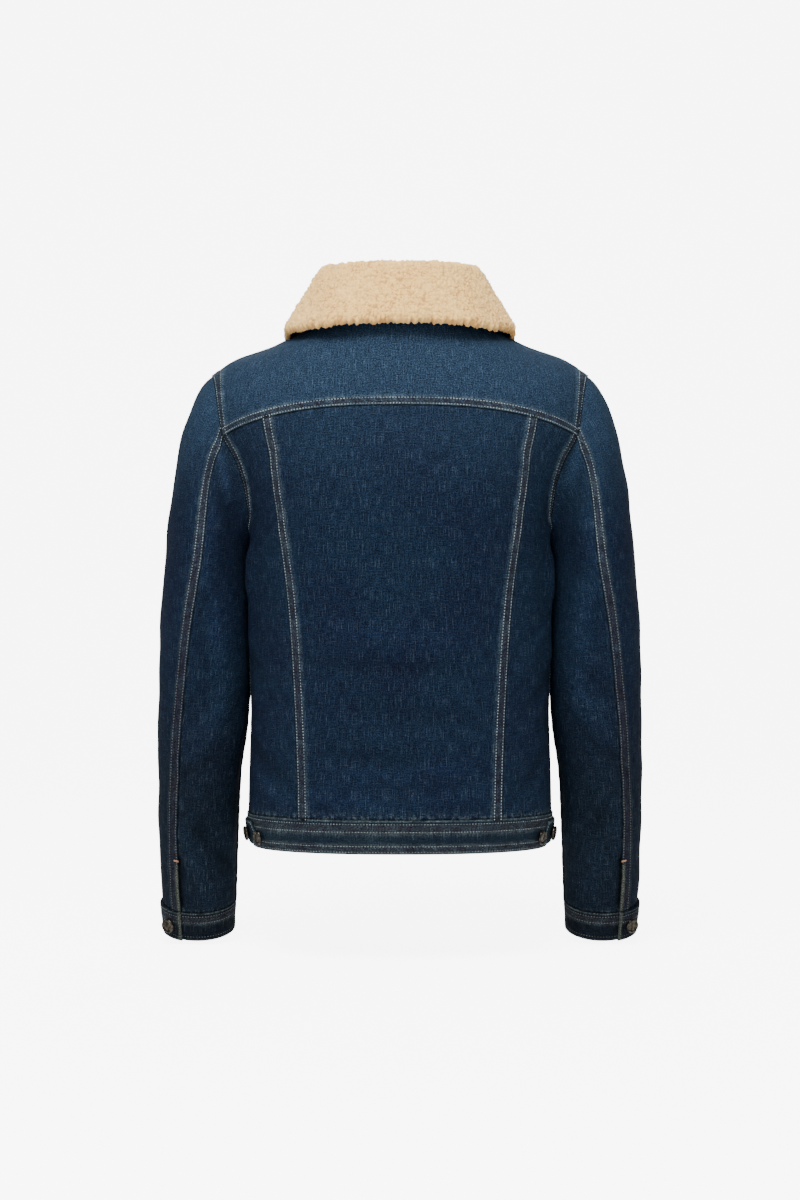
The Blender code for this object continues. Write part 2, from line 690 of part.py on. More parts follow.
def build_collar(denim, shearling, collection):
    grid, side = collar_path(11)
    gap = SEAM / 2
    pelt = wall_object("collar_shearling", grid + side * (gap + PILE), grid + side * gap, shearling, collection)
    under = wall_object("collar_under", grid - side * (gap + UNDER_COLLAR), grid - side * gap, denim, collection)
    return pelt, under


# ---------------------------------------------------------------- buttons
def button_object(name, place, normal, material, collection):
    """A shank button, turned round its axis: the shank's foot stands on the cloth at place."""
    top = SHANK_LENGTH + BUTTON_THICK
    profile = (
        (0.0, top - 0.0006),
        (BUTTON_RADIUS * 0.62, top - 0.0006),
        (BUTTON_RADIUS * 0.80, top),
        (BUTTON_RADIUS * 0.97, top - 0.0008),
        (BUTTON_RADIUS, SHANK_LENGTH + 0.0006),
        (SHANK_RADIUS, SHANK_LENGTH),
        (SHANK_RADIUS, 0.0),
        (0.0, 0.0),
    )
    mesh = bmesh.new()
    vertices = [mesh.verts.new((x, 0, z)) for x, z in profile]
    for a, b in zip(vertices, vertices[1:]):
        mesh.edges.new((a, b))
    obj = finished(name, mesh, material, collection)
    turned = obj.modifiers.new("turned", "SCREW")
    turned.steps = turned.render_steps = 12
    turned.use_merge_vertices = True
    turned.merge_threshold = 0.00005
    turned.use_smooth_shade = True
    obj.location = Vector(place) + Vector(normal) * SEAM
    obj.rotation_mode = "QUATERNION"
    obj.rotation_quaternion = Vector(normal).to_track_quat("Z", "Y")
    return obj


def both_sides(name, place, normal, material, collection):
    flip = np.array([-1, 1, 1])
    button_object(name + "_left", place, normal, material, collection)
    button_object(name + "_right", place * flip, normal * flip, material, collection)


def on_band(angle, z, height):
    """A place on the hem band's form, height above it, and the normal there."""
    grid = strip(z - 0.004, z + 0.004, 2, np.array([angle + 0.02, angle, angle - 0.02]))
    normal = grid_normals(grid)[1, 1]
    return grid[1, 1] + normal * height, normal


def cuff_button_place():
    """The left cuff button's place, on the lap."""
    grid, lift = cuff_grid()
    middle_row, column_in_lap = 1, -3
    normal = grid_normals(grid)[middle_row, column_in_lap]
    place = grid[middle_row, column_in_lap] + normal * (BAND_PROUD + lift[column_in_lap])
    return place, normal


def build_buttons(material, collection):
    grid = placket_grid()
    middle, out = grid[:, 1], grid_normals(grid)[:, 1]
    heights = np.linspace(-0.603, middle[-1, 2] - 0.016, FRONT_BUTTONS)
    for number, z in enumerate(heights[::-1], 1):
        place = np.array([np.interp(z, middle[:, 2], middle[:, k]) for k in range(3)])
        normal = unit(np.array([np.interp(z, middle[:, 2], out[:, k]) for k in range(3)]))
        place = place + normal * (PLACKET_CLEAR + BAND)
        button_object(f"front_button_{number}", place, normal, material, collection)
    tab_face = BAND_PROUD + SEAM + BAND
    both_sides("tab_button", *on_band(math.radians(75.5), -0.6040, tab_face), material, collection)
    both_sides("band_button", *on_band(math.radians(63.5), -0.6070, BAND_PROUD), material, collection)
    both_sides("cuff_button", *cuff_button_place(), material, collection)


# ---------------------------------------------------------------- materials and main
def principled(name, color, roughness, metallic):
    material = bpy.data.materials.new(name)
    material.use_nodes = True
    shader = material.node_tree.nodes["Principled BSDF"]
    shader.inputs["Base Color"].default_value = (*color, 1)
    shader.inputs["Roughness"].default_value = roughness
    shader.inputs["Metallic"].default_value = metallic
    return material


def clear_scene():
    for obj in list(bpy.data.objects):
        bpy.data.objects.remove(obj)


def with_folds(pieces, normals):
    """Presses the large folds into the sleeves, the same ones mirrored on the right."""
    for name in pieces:
        if name.startswith("sleeve"):
            flip = np.array([-1, 1, 1]) if name.endswith("right") else np.ones(3)
            pieces[name] = folded(pieces[name] * flip, normals[name] * flip, LARGE_FOLDS) * flip
    return pieces


def main():
    clear_scene()
    collection = bpy.data.collections.new("denim_jacket")
    bpy.context.scene.collection.children.link(collection)
    denim = principled("denim", DENIM_BLUE, 0.85, 0.0)
    shearling = principled("shearling", SHEARLING_CREAM, 0.95, 0.0)
    metal = principled("button_metal", ANTIQUE_METAL, 0.38, 0.9)
    pieces = quilt_pieces()
    pieces = with_folds(pieces, welded_normals(pieces))
    build_panels(pieces, welded_normals(pieces), denim, collection)
    build_hem_band(denim, collection)
    build_tabs(denim, collection)
    build_cuffs(denim, collection)
    build_placket(denim, collection)
    build_collar(denim, shearling, collection)
    build_buttons(metal, collection)


main()
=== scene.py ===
# %% [markdown]
# # A denim jacket with a shearling collar
# The jacket is filled out as if someone wore it, so it is a hollow shell and not a solid. On the real
# thing flat denim panels are sewn together with lapped seams: one panel's edge is folded over its
# neighbour's and held with two rows of stitches. This lesson makes each panel as a surface, a function of
# two parameters on a grid, and then gives it what a maker would: a wall, laps, creases, thread and wear.
# The plain CAD solids are the frame, so every size here is the same as theirs.

# %% Load the frame
import math
from collections import namedtuple

import bpy
import numpy as np
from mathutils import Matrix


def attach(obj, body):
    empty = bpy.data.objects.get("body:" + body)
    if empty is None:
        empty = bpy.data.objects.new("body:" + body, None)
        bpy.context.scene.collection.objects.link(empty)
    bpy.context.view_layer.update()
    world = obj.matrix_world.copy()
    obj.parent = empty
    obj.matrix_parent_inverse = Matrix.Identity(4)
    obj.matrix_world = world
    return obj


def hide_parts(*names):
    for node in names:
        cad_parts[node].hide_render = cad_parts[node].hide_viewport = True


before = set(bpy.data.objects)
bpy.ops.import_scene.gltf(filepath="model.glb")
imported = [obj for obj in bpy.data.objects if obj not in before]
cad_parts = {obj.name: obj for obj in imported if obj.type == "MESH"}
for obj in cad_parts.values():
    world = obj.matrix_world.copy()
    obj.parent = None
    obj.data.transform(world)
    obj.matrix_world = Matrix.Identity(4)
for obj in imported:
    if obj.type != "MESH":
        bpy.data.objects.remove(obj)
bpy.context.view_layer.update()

# %% [markdown]
# ## Sizes of the cut
# A pattern cutter works from a short list of measures. These are the jacket's: walls, seam heights and
# the tables of sections that the body and the sleeves follow. All are in metres, with the nape seam at
# height 0.

# %% Sizes and tables
DENIM = 0.0016  # wall of a panel
BAND = 0.0026  # wall of a band, which is folded denim pressed flat
PILE = 0.0105  # height of the shearling's wool
UNDER_COLLAR = 0.0015
SEAM = 0.0004  # gap between two neighbours
BAND_PROUD = 0.0009  # how far a band stands out from the panels
Z_HEM, Z_BAND = -0.621, -0.585  # lower and upper edge of the hem band
Z_CUFF, Z_WRIST = -0.696, -0.728  # upper and lower edge of a cuff
NECK_HALF_WIDTH, NECK_BACK, NECK_FRONT = 0.082, 0.083, 0.1055  # the neckline, two half ellipses
SHOULDER_X = 0.2175  # where the shoulder seam meets the armhole
PLACKET_HALF, PLACKET_CLEAR = 0.0185, 0.0016  # half its width, and its gap to the front below it
UNDERARM_ROW = 0.735  # the underarm's place on the way up from the hem band to the chest line
NECK_C_BACK, NECK_C_FRONT = 0.372, 0.245  # column places where the shoulder seam meets the neckline
YOKE_AT_CENTRE, YOKE_DROP, YOKE_POWER = -0.1168, 0.0345, 2.17
Z_FRONT_CHEST = YOKE_AT_CENTRE - YOKE_DROP
DIMPLE_DEPTH, DIMPLE_HEIGHT, DIMPLE_WIDTH = 0.0085, 0.022, 0.034  # the body is taken in under the arm
BACK, FRONT = 1, -1
FULL_TURN = 2 * math.pi

Section = namedtuple("Section", "z half_width back front")
BODY = (
    Section(-0.6210, 0.1700, 0.1215, 0.1295),
    Section(-0.6030, 0.1750, 0.1225, 0.1310),
    Section(-0.5850, 0.1768, 0.1225, 0.1315),
    Section(-0.5480, 0.1765, 0.1210, 0.1320),
    Section(-0.5000, 0.1752, 0.1220, 0.1340),
    Section(-0.4400, 0.1738, 0.1245, 0.1360),
    Section(-0.3600, 0.1733, 0.1290, 0.1385),
    Section(-0.2900, 0.1737, 0.1330, 0.1375),
    Section(-0.2500, 0.1755, 0.1345, 0.1350),
    Section(-0.2100, 0.1830, 0.1345, 0.1310),
    Section(-0.1800, 0.1940, 0.1330, 0.1265),
    Section(-0.1480, 0.2130, 0.1300, 0.1200),
    Section(-0.1160, 0.2280, 0.1265, 0.1130),
)
BODY_POWER = 2.4
Ridge = namedtuple("Ridge", "x z")
RIDGE = (
    Ridge(0.000, 0.0379),
    Ridge(0.008, 0.0374),
    Ridge(0.020, 0.0344),
    Ridge(0.040, 0.0248),
    Ridge(0.060, 0.0111),
    Ridge(0.082, -0.0040),
    Ridge(0.146, -0.0415),
    Ridge(0.192, -0.0582),
    Ridge(0.2175, -0.0745),
)
Princess = namedtuple("Princess", "row x")
PRINCESS = (
    Princess(0.00, 0.1120),
    Princess(0.15, 0.1135),
    Princess(0.35, 0.1175),
    Princess(0.55, 0.1240),
    Princess(0.75, 0.1370),
    Princess(0.90, 0.1500),
    Princess(1.00, 0.1565),
)
Armhole = namedtuple("Armhole", "rise back front")
ARMHOLE = (
    Armhole(0.00, 90.0, 90.0),
    Armhole(0.07, 83.4, 82.8),
    Armhole(0.25, 76.4, 75.5),
    Armhole(0.50, 72.2, 70.7),
    Armhole(0.75, 70.1, 67.9),
    Armhole(1.00, 69.3, 65.5),
)
Ring = namedtuple("Ring", "z x y half_width half_depth tilt seam")
SLEEVE = (
    Ring(-0.300, 0.2266, -0.004, 0.0490, 0.0660, 0.0, 86.0),
    Ring(-0.360, 0.2285, -0.008, 0.0522, 0.0610, 1.0, 76.0),
    Ring(-0.420, 0.2294, -0.010, 0.0534, 0.0570, 4.0, 69.0),
    Ring(-0.480, 0.2319, -0.013, 0.0522, 0.0530, 9.0, 64.0),
    Ring(-0.540, 0.2364, -0.019, 0.0482, 0.0490, 13.0, 62.0),
    Ring(-0.600, 0.2386, -0.030, 0.0468, 0.0455, 15.0, 61.0),
    Ring(-0.660, 0.2398, -0.045, 0.0450, 0.0420, 16.5, 61.0),
    Ring(-0.696, 0.2400, -0.056, 0.0432, 0.0395, 17.5, 62.0),
    Ring(-0.728, 0.2397, -0.066, 0.0412, 0.0385, 18.0, 63.0),
)
print(len(BODY), "body sections,", len(SLEEVE), "sleeve rings")


# %% Curves through the tables
def through(xs, ys, at):
    """Smooth curve through a table's points that never overshoots: a monotone cubic, whose slope at a
    point is the harmonic mean of the slopes on both sides."""
    xs, ys, at = np.asarray(xs, float), np.asarray(ys, float), np.asarray(at, float)
    step = np.diff(xs)
    slope = np.diff(ys) / step
    both = slope[:-1] * slope[1:]
    middle = np.where(both > 0, 2 * both / (slope[:-1] + slope[1:] + 1e-30), 0)
    tangent = np.concatenate([slope[:1], middle, slope[-1:]])
    i = np.clip(np.searchsorted(xs, at) - 1, 0, len(step) - 1)
    t = np.clip((at - xs[i]) / step[i], 0, 1)
    value = ys[i] * (1 + 2 * t) * (1 - t) ** 2 + step[i] * tangent[i] * t * (1 - t) ** 2
    return value + ys[i + 1] * t * t * (3 - 2 * t) - step[i] * tangent[i + 1] * t * t * (1 - t)


def column(table, key, value, at):
    """The named column of a table at any places of its key column."""
    rows = sorted(table, key=lambda row: getattr(row, key))
    return through([getattr(r, key) for r in rows], [getattr(r, value) for r in rows], at)


def spread(rows, columns):
    """Two parameters over a grid; each is given as (start, stop, count)."""
    return np.meshgrid(np.linspace(*rows), np.linspace(*columns), indexing="ij")


def lengths(grid):
    """Distance along every row from its first point."""
    steps = np.linalg.norm(np.diff(grid, axis=1), axis=-1)
    return np.concatenate([np.zeros((len(grid), 1)), np.cumsum(steps, axis=1)], 1)


def on_line(at, places, line):
    """Every column of a line's values at the wished places, in straight lines between its points."""
    return np.stack([np.interp(at, places, values) for values in line.T], -1)


def unit(v):
    """Vectors scaled to a length of 1."""
    return v / np.maximum(np.linalg.norm(v, axis=-1, keepdims=True), 1e-12)


def smooth(t):
    """0 below 0, 1 above 1, and the S-curve 3t^2 - 2t^3 between."""
    t = np.clip(t, 0, 1)
    return t * t * (3 - 2 * t)


print("through (0, 0), (1, 1) and (2, 4) the curve is at", through([0, 1, 2], [0, 1, 4], 1.5), "at 1.5")

# %% [markdown]
# ## The body's surface
# Seen from above, a filled-out jacket is a rounded oblong. A superellipse gives that with three numbers a
# height: half the width, the depth of the back and the depth of the front. Over the shoulder blades and
# the chest the cloth rolls up to the shoulder seam, so there each column is a quarter of an ellipse
# standing on the section below. A place on the back is (row, c): row goes up from the hem band to the
# yoke seam, and c is 0 at the centre line, 1 at the slanting seam and 2 at the side, negative on the
# wearer's right.

# %% The body below the chest
def section_point(angle, z, side):
    """Superellipse: x = half width * sin(angle)^(2/p), y = depth * cos(angle)^(2/p). Angle 0 is the
    centre line."""
    half_width = column(BODY, "z", "half_width", z)
    depth = column(BODY, "z", "back" if side > 0 else "front", z)
    power = 2 / BODY_POWER
    x = half_width * np.sin(np.maximum(angle, 1e-9)) ** power
    y = side * depth * np.cos(np.minimum(angle, math.pi / 2 - 1e-9)) ** power
    return np.stack(np.broadcast_arrays(x, y, z), -1)


def angle_at(x, z):
    """The section's angle at a distance x from the centre line."""
    return np.arcsin(np.clip(x / column(BODY, "z", "half_width", z), 0, 1) ** (BODY_POWER / 2))


def chest_line(angle, side):
    """Height of the line where the roll starts: at the back it is the yoke seam, which drops to the
    sides."""
    if side > 0:
        return YOKE_AT_CENTRE - YOKE_DROP * np.sin(angle) ** YOKE_POWER
    return Z_FRONT_CHEST + 0 * angle


Z_UNDERARM = float(Z_BAND + (Z_FRONT_CHEST - Z_BAND) * UNDERARM_ROW)


def panel_angle(row, c, side):
    """Angle on the section. The back's slanting seam is at c = 1, the side seam or the armhole at c = 2;
    the front's placket edge is at c = 0 and its side at c = 1."""
    rise = np.clip((row - UNDERARM_ROW) / (1 - UNDERARM_ROW), 0, 1)
    edge = np.radians(column(ARMHOLE, "rise", "back" if side > 0 else "front", rise))
    if side > 0:
        seam = angle_at(column(PRINCESS, "row", "x", row), Z_BAND + (YOKE_AT_CENTRE - Z_BAND) * row)
        return seam * np.minimum(c, 1) + (edge - seam) * np.clip(c - 1, 0, 1)
    start = angle_at(np.array(PLACKET_HALF), Z_BAND + (Z_FRONT_CHEST - Z_BAND) * row)
    return start + (edge - start) * c


def lower_body(row, c, side):
    """Body between hem band and chest line, with a dimple that takes it in under the arm."""
    angle = panel_angle(row, np.abs(c), side)
    z = Z_BAND + (chest_line(angle, side) - Z_BAND) * row
    points = section_point(angle, z, side)
    near = ((points[..., 2] - Z_UNDERARM) / DIMPLE_HEIGHT) ** 2 + (points[..., 1] / DIMPLE_WIDTH) ** 2
    points[..., 0] -= DIMPLE_DEPTH * np.exp(-near)
    points[..., 0] *= np.where(c < 0, -1, 1)
    return points


print("the underarm is at z =", round(Z_UNDERARM, 4))

# %% Yoke and shoulders
def upper_body(rise, c, side):
    """The roll from the chest line to the neckline or the shoulder seam: y = foot * cos(t), and z rises
    with sin(t), until t reaches the neckline. x moves evenly to its place along the top."""
    foot = lower_body(np.ones_like(c), np.abs(c), side)
    start, neck_c, tip_c = (0.0, NECK_C_BACK, 2.0) if side > 0 else (PLACKET_HALF, NECK_C_FRONT, 1.0)
    neck, tip = (float(lower_body(np.ones(1), np.array([k]), side)[0, 0]) for k in (neck_c, tip_c))
    x = foot[..., 0]
    on_neck = start + (NECK_HALF_WIDTH - start) * (x - start) / (neck - start)
    on_ridge = NECK_HALF_WIDTH + (SHOULDER_X - NECK_HALF_WIDTH) * (x - neck) / (tip - neck)
    top_x = np.where(x <= neck, on_neck, on_ridge)
    depth = NECK_BACK if side > 0 else NECK_FRONT
    neck_y = depth * np.sqrt(np.clip(1 - (top_x / NECK_HALF_WIDTH) ** 2, 0, 1))
    turn = rise * np.arccos(np.clip(neck_y / np.abs(foot[..., 1]), 0, 1))
    ridge = column(RIDGE, "x", "z", np.minimum(top_x, SHOULDER_X))
    x = (x + (top_x - x) * rise) * np.where(c < 0, -1, 1)
    y, z = foot[..., 1] * np.cos(turn), foot[..., 2] + (ridge - foot[..., 2]) * np.sin(turn)
    return np.stack([x, y, z], -1)


print("the shoulder seam ends at", upper_body(np.ones(1), np.array([2.0]), BACK)[0].round(4))

# %% [markdown]
# ## The sleeves' surface
# A sleeve starts at the armhole, a closed loop that leans, and hangs down through rings that tilt
# forwards as an arm does. Between loop and first ring each line is a cubic that leaves the shoulder
# outwards and arrives along the arm: that gives the rounded sleeve head. Below it the rings' table is
# enough. A place on it is (q, way): q is the share of the way round the armhole from the underarm, up the
# back, and way goes down to the cuff.

# %% The armhole
def armhole_curve(count=80):
    """The left armhole as four curves end to end: up the back, over the yoke's edge to the shoulder tip,
    down the upper front and down to the underarm. Gives points, their shares of the length, and the
    corners'."""
    t = np.linspace(0, 1, count)
    rows = UNDERARM_ROW + (1 - UNDERARM_ROW) * through(np.arange(6), [row.rise for row in ARMHOLE], 5 * t)
    parts = [lower_body(rows, 2 + 0 * t, BACK), upper_body(t, 2 + 0 * t, BACK)[1:]]
    parts += [upper_body(t[::-1], 1 + 0 * t, FRONT)[1:], lower_body(rows[::-1], 1 + 0 * t, FRONT)[1:]]
    points = np.concatenate(parts)
    length = lengths(points[None])[0]
    corners = length[np.cumsum([0] + [len(part) for part in parts]) - [0, 1, 1, 1, 1]] / length[-1]
    return points, length / length[-1], corners


ARMHOLE_POINTS, ARMHOLE_SHARE, CORNERS = armhole_curve()
Q_SEAM = float(CORNERS[1])  # where the yoke seam meets the armhole, and the sleeve's back seam starts
print("round the armhole the corners are at", CORNERS.round(3))

# %% A place on the sleeve
CAP_SHARE = 0.34  # share of the sleeve's length that the rounded head takes


def on_ring(angle, z):
    """A point of the sleeve's ring: angle 0 faces outwards, 90 degrees the back and 180 the body."""
    x, y, half_width, half_depth, tilt = (column(SLEEVE, "z", name, z) for name in Ring._fields[1:6])
    tilt = np.radians(tilt)
    across, deep = half_width * np.cos(angle), half_depth * np.sin(angle)
    return np.stack(np.broadcast_arrays(x + across, y + deep * np.cos(tilt), z - deep * np.sin(tilt)), -1)


def ring_angle(q, z):
    """The angle that belongs to a share q: 180 at the underarm, the seam's own angle at the back seam, 0
    at the shoulder tip and -82 at the front, with a smooth bump that carries the seam's slant."""
    seam = column(SLEEVE, "z", "seam", z)
    middle = through(CORNERS, [180, 68, 0, -82, -180], q)
    return np.radians(middle + (seam - 68) * through(CORNERS, [0, 1, 0, 0, 0], q))


def sleeve_point(q, way):
    """The left sleeve: a Hermite cubic from armhole to first ring, then the rings."""
    q, way = np.broadcast_arrays(np.asarray(q, float), np.asarray(way, float))
    loop = on_line(q, ARMHOLE_SHARE, ARMHOLE_POINTS)
    top = np.full(q.shape, SLEEVE[0].z)
    ring = on_ring(ring_angle(q, top), top)
    down = unit(on_ring(ring_angle(q, top - 0.002), top - 0.002) - ring)
    chord = ring - loop
    length = np.linalg.norm(chord, axis=-1, keepdims=True)
    rise = np.clip((loop[..., 2:] - Z_UNDERARM) / (RIDGE[-1].z - Z_UNDERARM), 0, 1)
    outwards = np.array([1.0, 0.0, 0.0]) * (1.15 - 0.35 * rise)
    leave = unit(0.6 * unit(chord) + outwards) * length * (0.8 - 0.2 * rise)
    arrive = down * length * (1 + 0.2 * rise)
    t = np.clip(way / CAP_SHARE, 0, 1)[..., None]
    cap = loop * (1 + 2 * t) * (1 - t) ** 2 + leave * t * (1 - t) ** 2
    cap = cap + ring * t * t * (3 - 2 * t) - arrive * t * t * (1 - t)
    z = SLEEVE[0].z + (Z_CUFF - SLEEVE[0].z) * np.clip((way - CAP_SHARE) / (1 - CAP_SHARE), 0, 1)
    return np.where((way <= CAP_SHARE)[..., None], cap, on_ring(ring_angle(q, z), z))


line = sleeve_point(CORNERS[2], np.linspace(0, 1, 60))[None]
print("from shoulder to cuff a sleeve is", round(float(lengths(line)[0, -1]), 3), "m long")

# %% [markdown]
# ## Creases
# Cloth over an arm or a back doesn't lie like sheet metal. Long soft folds run from where it is pinched,
# at the underarm, the elbow and the waist. Each is given as a line with a width and a depth,
# negative for a trough, and the cloth moves along its normal by depth * exp(-(distance / width)^2). No
# two are alike.

# %% Folds
Fold = namedtuple("Fold", "start end width depth")
SLEEVE_FOLDS = (
    Fold((0.190, 0.055, -0.225), (0.200, 0.060, -0.300), 0.016, -0.0016),
    Fold((0.213, 0.064, -0.245), (0.226, 0.062, -0.320), 0.016, 0.0016),
    Fold((0.200, 0.040, -0.560), (0.250, 0.030, -0.640), 0.016, -0.0030),
    Fold((0.190, 0.030, -0.615), (0.235, 0.020, -0.675), 0.014, 0.0028),
    Fold((0.205, -0.060, -0.450), (0.275, -0.040, -0.470), 0.014, -0.0040),
    Fold((0.195, -0.065, -0.490), (0.270, -0.050, -0.515), 0.013, -0.0035),
)
SMALL_SLEEVE_FOLDS = (
    Fold((0.196, 0.045, -0.420), (0.244, 0.048, -0.462), 0.010, -0.0016),
    Fold((0.190, 0.040, -0.452), (0.236, 0.046, -0.488), 0.009, 0.0014),
    Fold((0.205, 0.040, -0.505), (0.262, 0.030, -0.548), 0.010, -0.0018),
    Fold((0.194, 0.028, -0.575), (0.222, 0.026, -0.660), 0.008, -0.0016),
    Fold((0.212, 0.020, -0.640), (0.262, 0.002, -0.684), 0.008, 0.0016),
    Fold((0.196, 0.010, -0.668), (0.240, 0.004, -0.690), 0.007, -0.0014),
    Fold((0.228, 0.072, -0.160), (0.262, 0.050, -0.235), 0.012, -0.0012),
    Fold((0.254, 0.012, -0.609), (0.222, -0.017, -0.694), 0.009, 0.0021),
    Fold((0.233, 0.015, -0.606), (0.203, -0.017, -0.652), 0.009, -0.0024),
    Fold((0.206, 0.055, -0.150), (0.187, 0.052, -0.202), 0.0055, -0.0017),
    Fold((0.209, 0.056, -0.155), (0.194, 0.054, -0.222), 0.0060, 0.0016),
    Fold((0.213, 0.058, -0.165), (0.204, 0.056, -0.235), 0.0060, -0.0013),
    Fold((0.214, 0.052, -0.352), (0.206, 0.040, -0.440), 0.014, 0.0022),
    Fold((0.228, 0.054, -0.330), (0.222, 0.044, -0.412), 0.012, -0.0016),
    Fold((0.205, 0.040, -0.470), (0.236, 0.034, -0.520), 0.013, 0.0020),
)
BACK_FOLDS = (
    Fold((0.171, 0.036, -0.262), (0.172, 0.035, -0.318), 0.015, 0.0042),
    Fold((0.172, 0.035, -0.290), (0.173, 0.030, -0.395), 0.016, 0.0041),
    Fold((-0.171, 0.036, -0.262), (-0.172, 0.035, -0.324), 0.015, 0.0044),
    Fold((-0.172, 0.035, -0.295), (-0.173, 0.030, -0.402), 0.016, 0.0041),
    Fold((0.174, 0.010, -0.470), (0.172, 0.000, -0.570), 0.030, -0.0022),
    Fold((-0.174, 0.010, -0.470), (-0.172, 0.000, -0.570), 0.030, -0.0022),
    Fold((0.205, 0.060, -0.225), (0.130, 0.125, -0.292), 0.013, -0.0018),
    Fold((0.190, 0.070, -0.262), (0.135, 0.120, -0.330), 0.012, 0.0016),
    Fold((0.180, 0.060, -0.300), (0.140, 0.115, -0.372), 0.011, -0.0016),
    Fold((0.176, 0.040, -0.500), (0.120, 0.110, -0.548), 0.010, -0.0018),
    Fold((0.176, 0.050, -0.530), (0.125, 0.108, -0.570), 0.008, 0.0014),
    Fold((0.095, 0.120, -0.505), (-0.020, 0.124, -0.520), 0.011, -0.0013),
    Fold((0.060, 0.120, -0.535), (-0.085, 0.120, -0.527), 0.010, 0.0012),
    Fold((0.040, 0.124, -0.455), (-0.090, 0.124, -0.470), 0.014, -0.0011),
    Fold((-0.030, 0.122, -0.553), (-0.105, 0.118, -0.546), 0.008, -0.0012),
    Fold((-0.180, 0.050, -0.505), (-0.128, 0.108, -0.560), 0.011, -0.0020),
    Fold((-0.200, 0.060, -0.232), (-0.135, 0.122, -0.312), 0.013, -0.0017),
    Fold((-0.185, 0.066, -0.276), (-0.142, 0.112, -0.346), 0.011, 0.0015),
    Fold((-0.176, 0.030, -0.420), (-0.150, 0.100, -0.470), 0.012, -0.0015),
    Fold((0.176, 0.030, -0.400), (0.152, 0.100, -0.440), 0.012, -0.0013),
    Fold((0.085, 0.126, -0.372), (-0.070, 0.130, -0.384), 0.013, 0.0010),
    Fold((0.100, 0.122, -0.408), (-0.060, 0.126, -0.416), 0.010, -0.0012),
    Fold((-0.020, 0.124, -0.560), (-0.100, 0.116, -0.548), 0.009, 0.0016),
    Fold((0.098, 0.116, -0.556), (0.010, 0.122, -0.570), 0.010, 0.0013),
    Fold((-0.170, 0.060, -0.372), (-0.138, 0.108, -0.425), 0.010, 0.0018),
    Fold((-0.175, 0.050, -0.440), (-0.140, 0.104, -0.500), 0.010, 0.0014),
)
FRONT_FOLDS = (
    Fold((0.174, 0.010, -0.470), (0.172, 0.000, -0.570), 0.030, -0.0022),
    Fold((0.190, -0.050, -0.240), (0.120, -0.125, -0.330), 0.014, -0.0020),
    Fold((0.185, -0.060, -0.285), (0.130, -0.120, -0.380), 0.012, 0.0015),
    Fold((0.175, -0.050, -0.505), (0.100, -0.128, -0.560), 0.012, -0.0018),
    Fold((0.160, -0.080, -0.470), (0.070, -0.132, -0.500), 0.012, 0.0013),
    Fold((0.060, -0.130, -0.400), (0.140, -0.110, -0.430), 0.014, -0.0012),
)
print(len(SLEEVE_FOLDS + SMALL_SLEEVE_FOLDS), "folds a sleeve,", len(BACK_FOLDS), "on the back")

# %% What the folds do to the cloth
def lift_of_folds(points, folds):
    """How far the folds move each point along its normal."""
    lift = np.zeros(points.shape[:-1])
    for fold in folds:
        start, end = np.array(fold.start), np.array(fold.end)
        line = end - start
        along = np.clip((points - start) @ line / (line @ line), 0, 1)
        away = np.linalg.norm(points - start - along[..., None] * line, axis=-1)
        lift += fold.depth * np.exp(-((away / fold.width) ** 2))
    return lift


def waves(points, size, seed):
    """Slow uneven swells of the cloth: six sine waves in fixed random directions, about 1 high in all."""
    rng = np.random.default_rng(seed)
    way = unit(rng.normal(size=(6, 3))) * FULL_TURN / size * rng.uniform(0.7, 1.5, (6, 1))
    return np.sin(points @ way.T + rng.uniform(0, 6.28, 6)).sum(-1) / 3


on_top = lift_of_folds(np.array([BACK_FOLDS[0].start]), BACK_FOLDS)
print("where the first fold of the back starts, the cloth moves", round(on_top[0] * 1000, 2), "mm")

# %% [markdown]
# ## From a surface to a sewn panel
# A panel's grid must have its lines where a sewn edge needs them: at the fold, at both rows of stitches
# and where the lap ends. So a dense grid is worked out first and then respaced by arc length, which keeps
# those lines parallel to the seam however the panel tapers. A lap is a second layer of cloth: the outer
# face rises by its thickness over the last centimetre or so and reaches 2.4 mm over the neighbour, whose
# edge lies flat below it.

# %% Respacing
LAP_REACH = 0.0024
PLAIN_LINES = np.array([0.0, 1.5, 4.0]) / 1000  # beside an edge that lies below its neighbour
PITCH = 0.0032  # between the grid's lines elsewhere
# The two rows of stitches, measured inwards from the seam: the first is past it, on the lap
YOKE_ROWS, FELLED_ROWS, CENTRE_ROWS = (-0.0008, 0.0055), (-0.0008, 0.0090), (-0.0008, 0.0074)


def edge_lines(second_row):
    """Grid lines beside a sewn edge: close together at the fold and at the rows of stitches, wider
    elsewhere."""
    at_fold = np.array([0.0, 0.5, 1.2, 1.6, 2.1, 3.2, 4.8]) / 1000
    at_row = second_row + np.array([-1.3, -0.5, 0.0, 0.5, 1.4, 2.5, 4.3, 6.1, 9.1]) / 1000
    return np.concatenate([at_fold, [(at_fold[-1] + at_row[0]) / 2], at_row])


def lines_across(length, low, high, pitch=PITCH):
    """Places as a + b * length: fixed distances from both ends, and an even spread between them. On a
    narrow strip only the fixed ones nearer than its middle are kept."""
    low, high = (lines[lines < 0.42 * length] for lines in (low, high))
    count = max(2, int(round((length - low[-1] - high[-1]) / pitch)))
    t = np.linspace(0, 1, count + 1)[1:-1]
    a = np.concatenate([low, low[-1] * (1 - t) - high[-1] * t, -high[::-1]])
    return a, np.concatenate([0 * low, t, 1 + 0 * high])


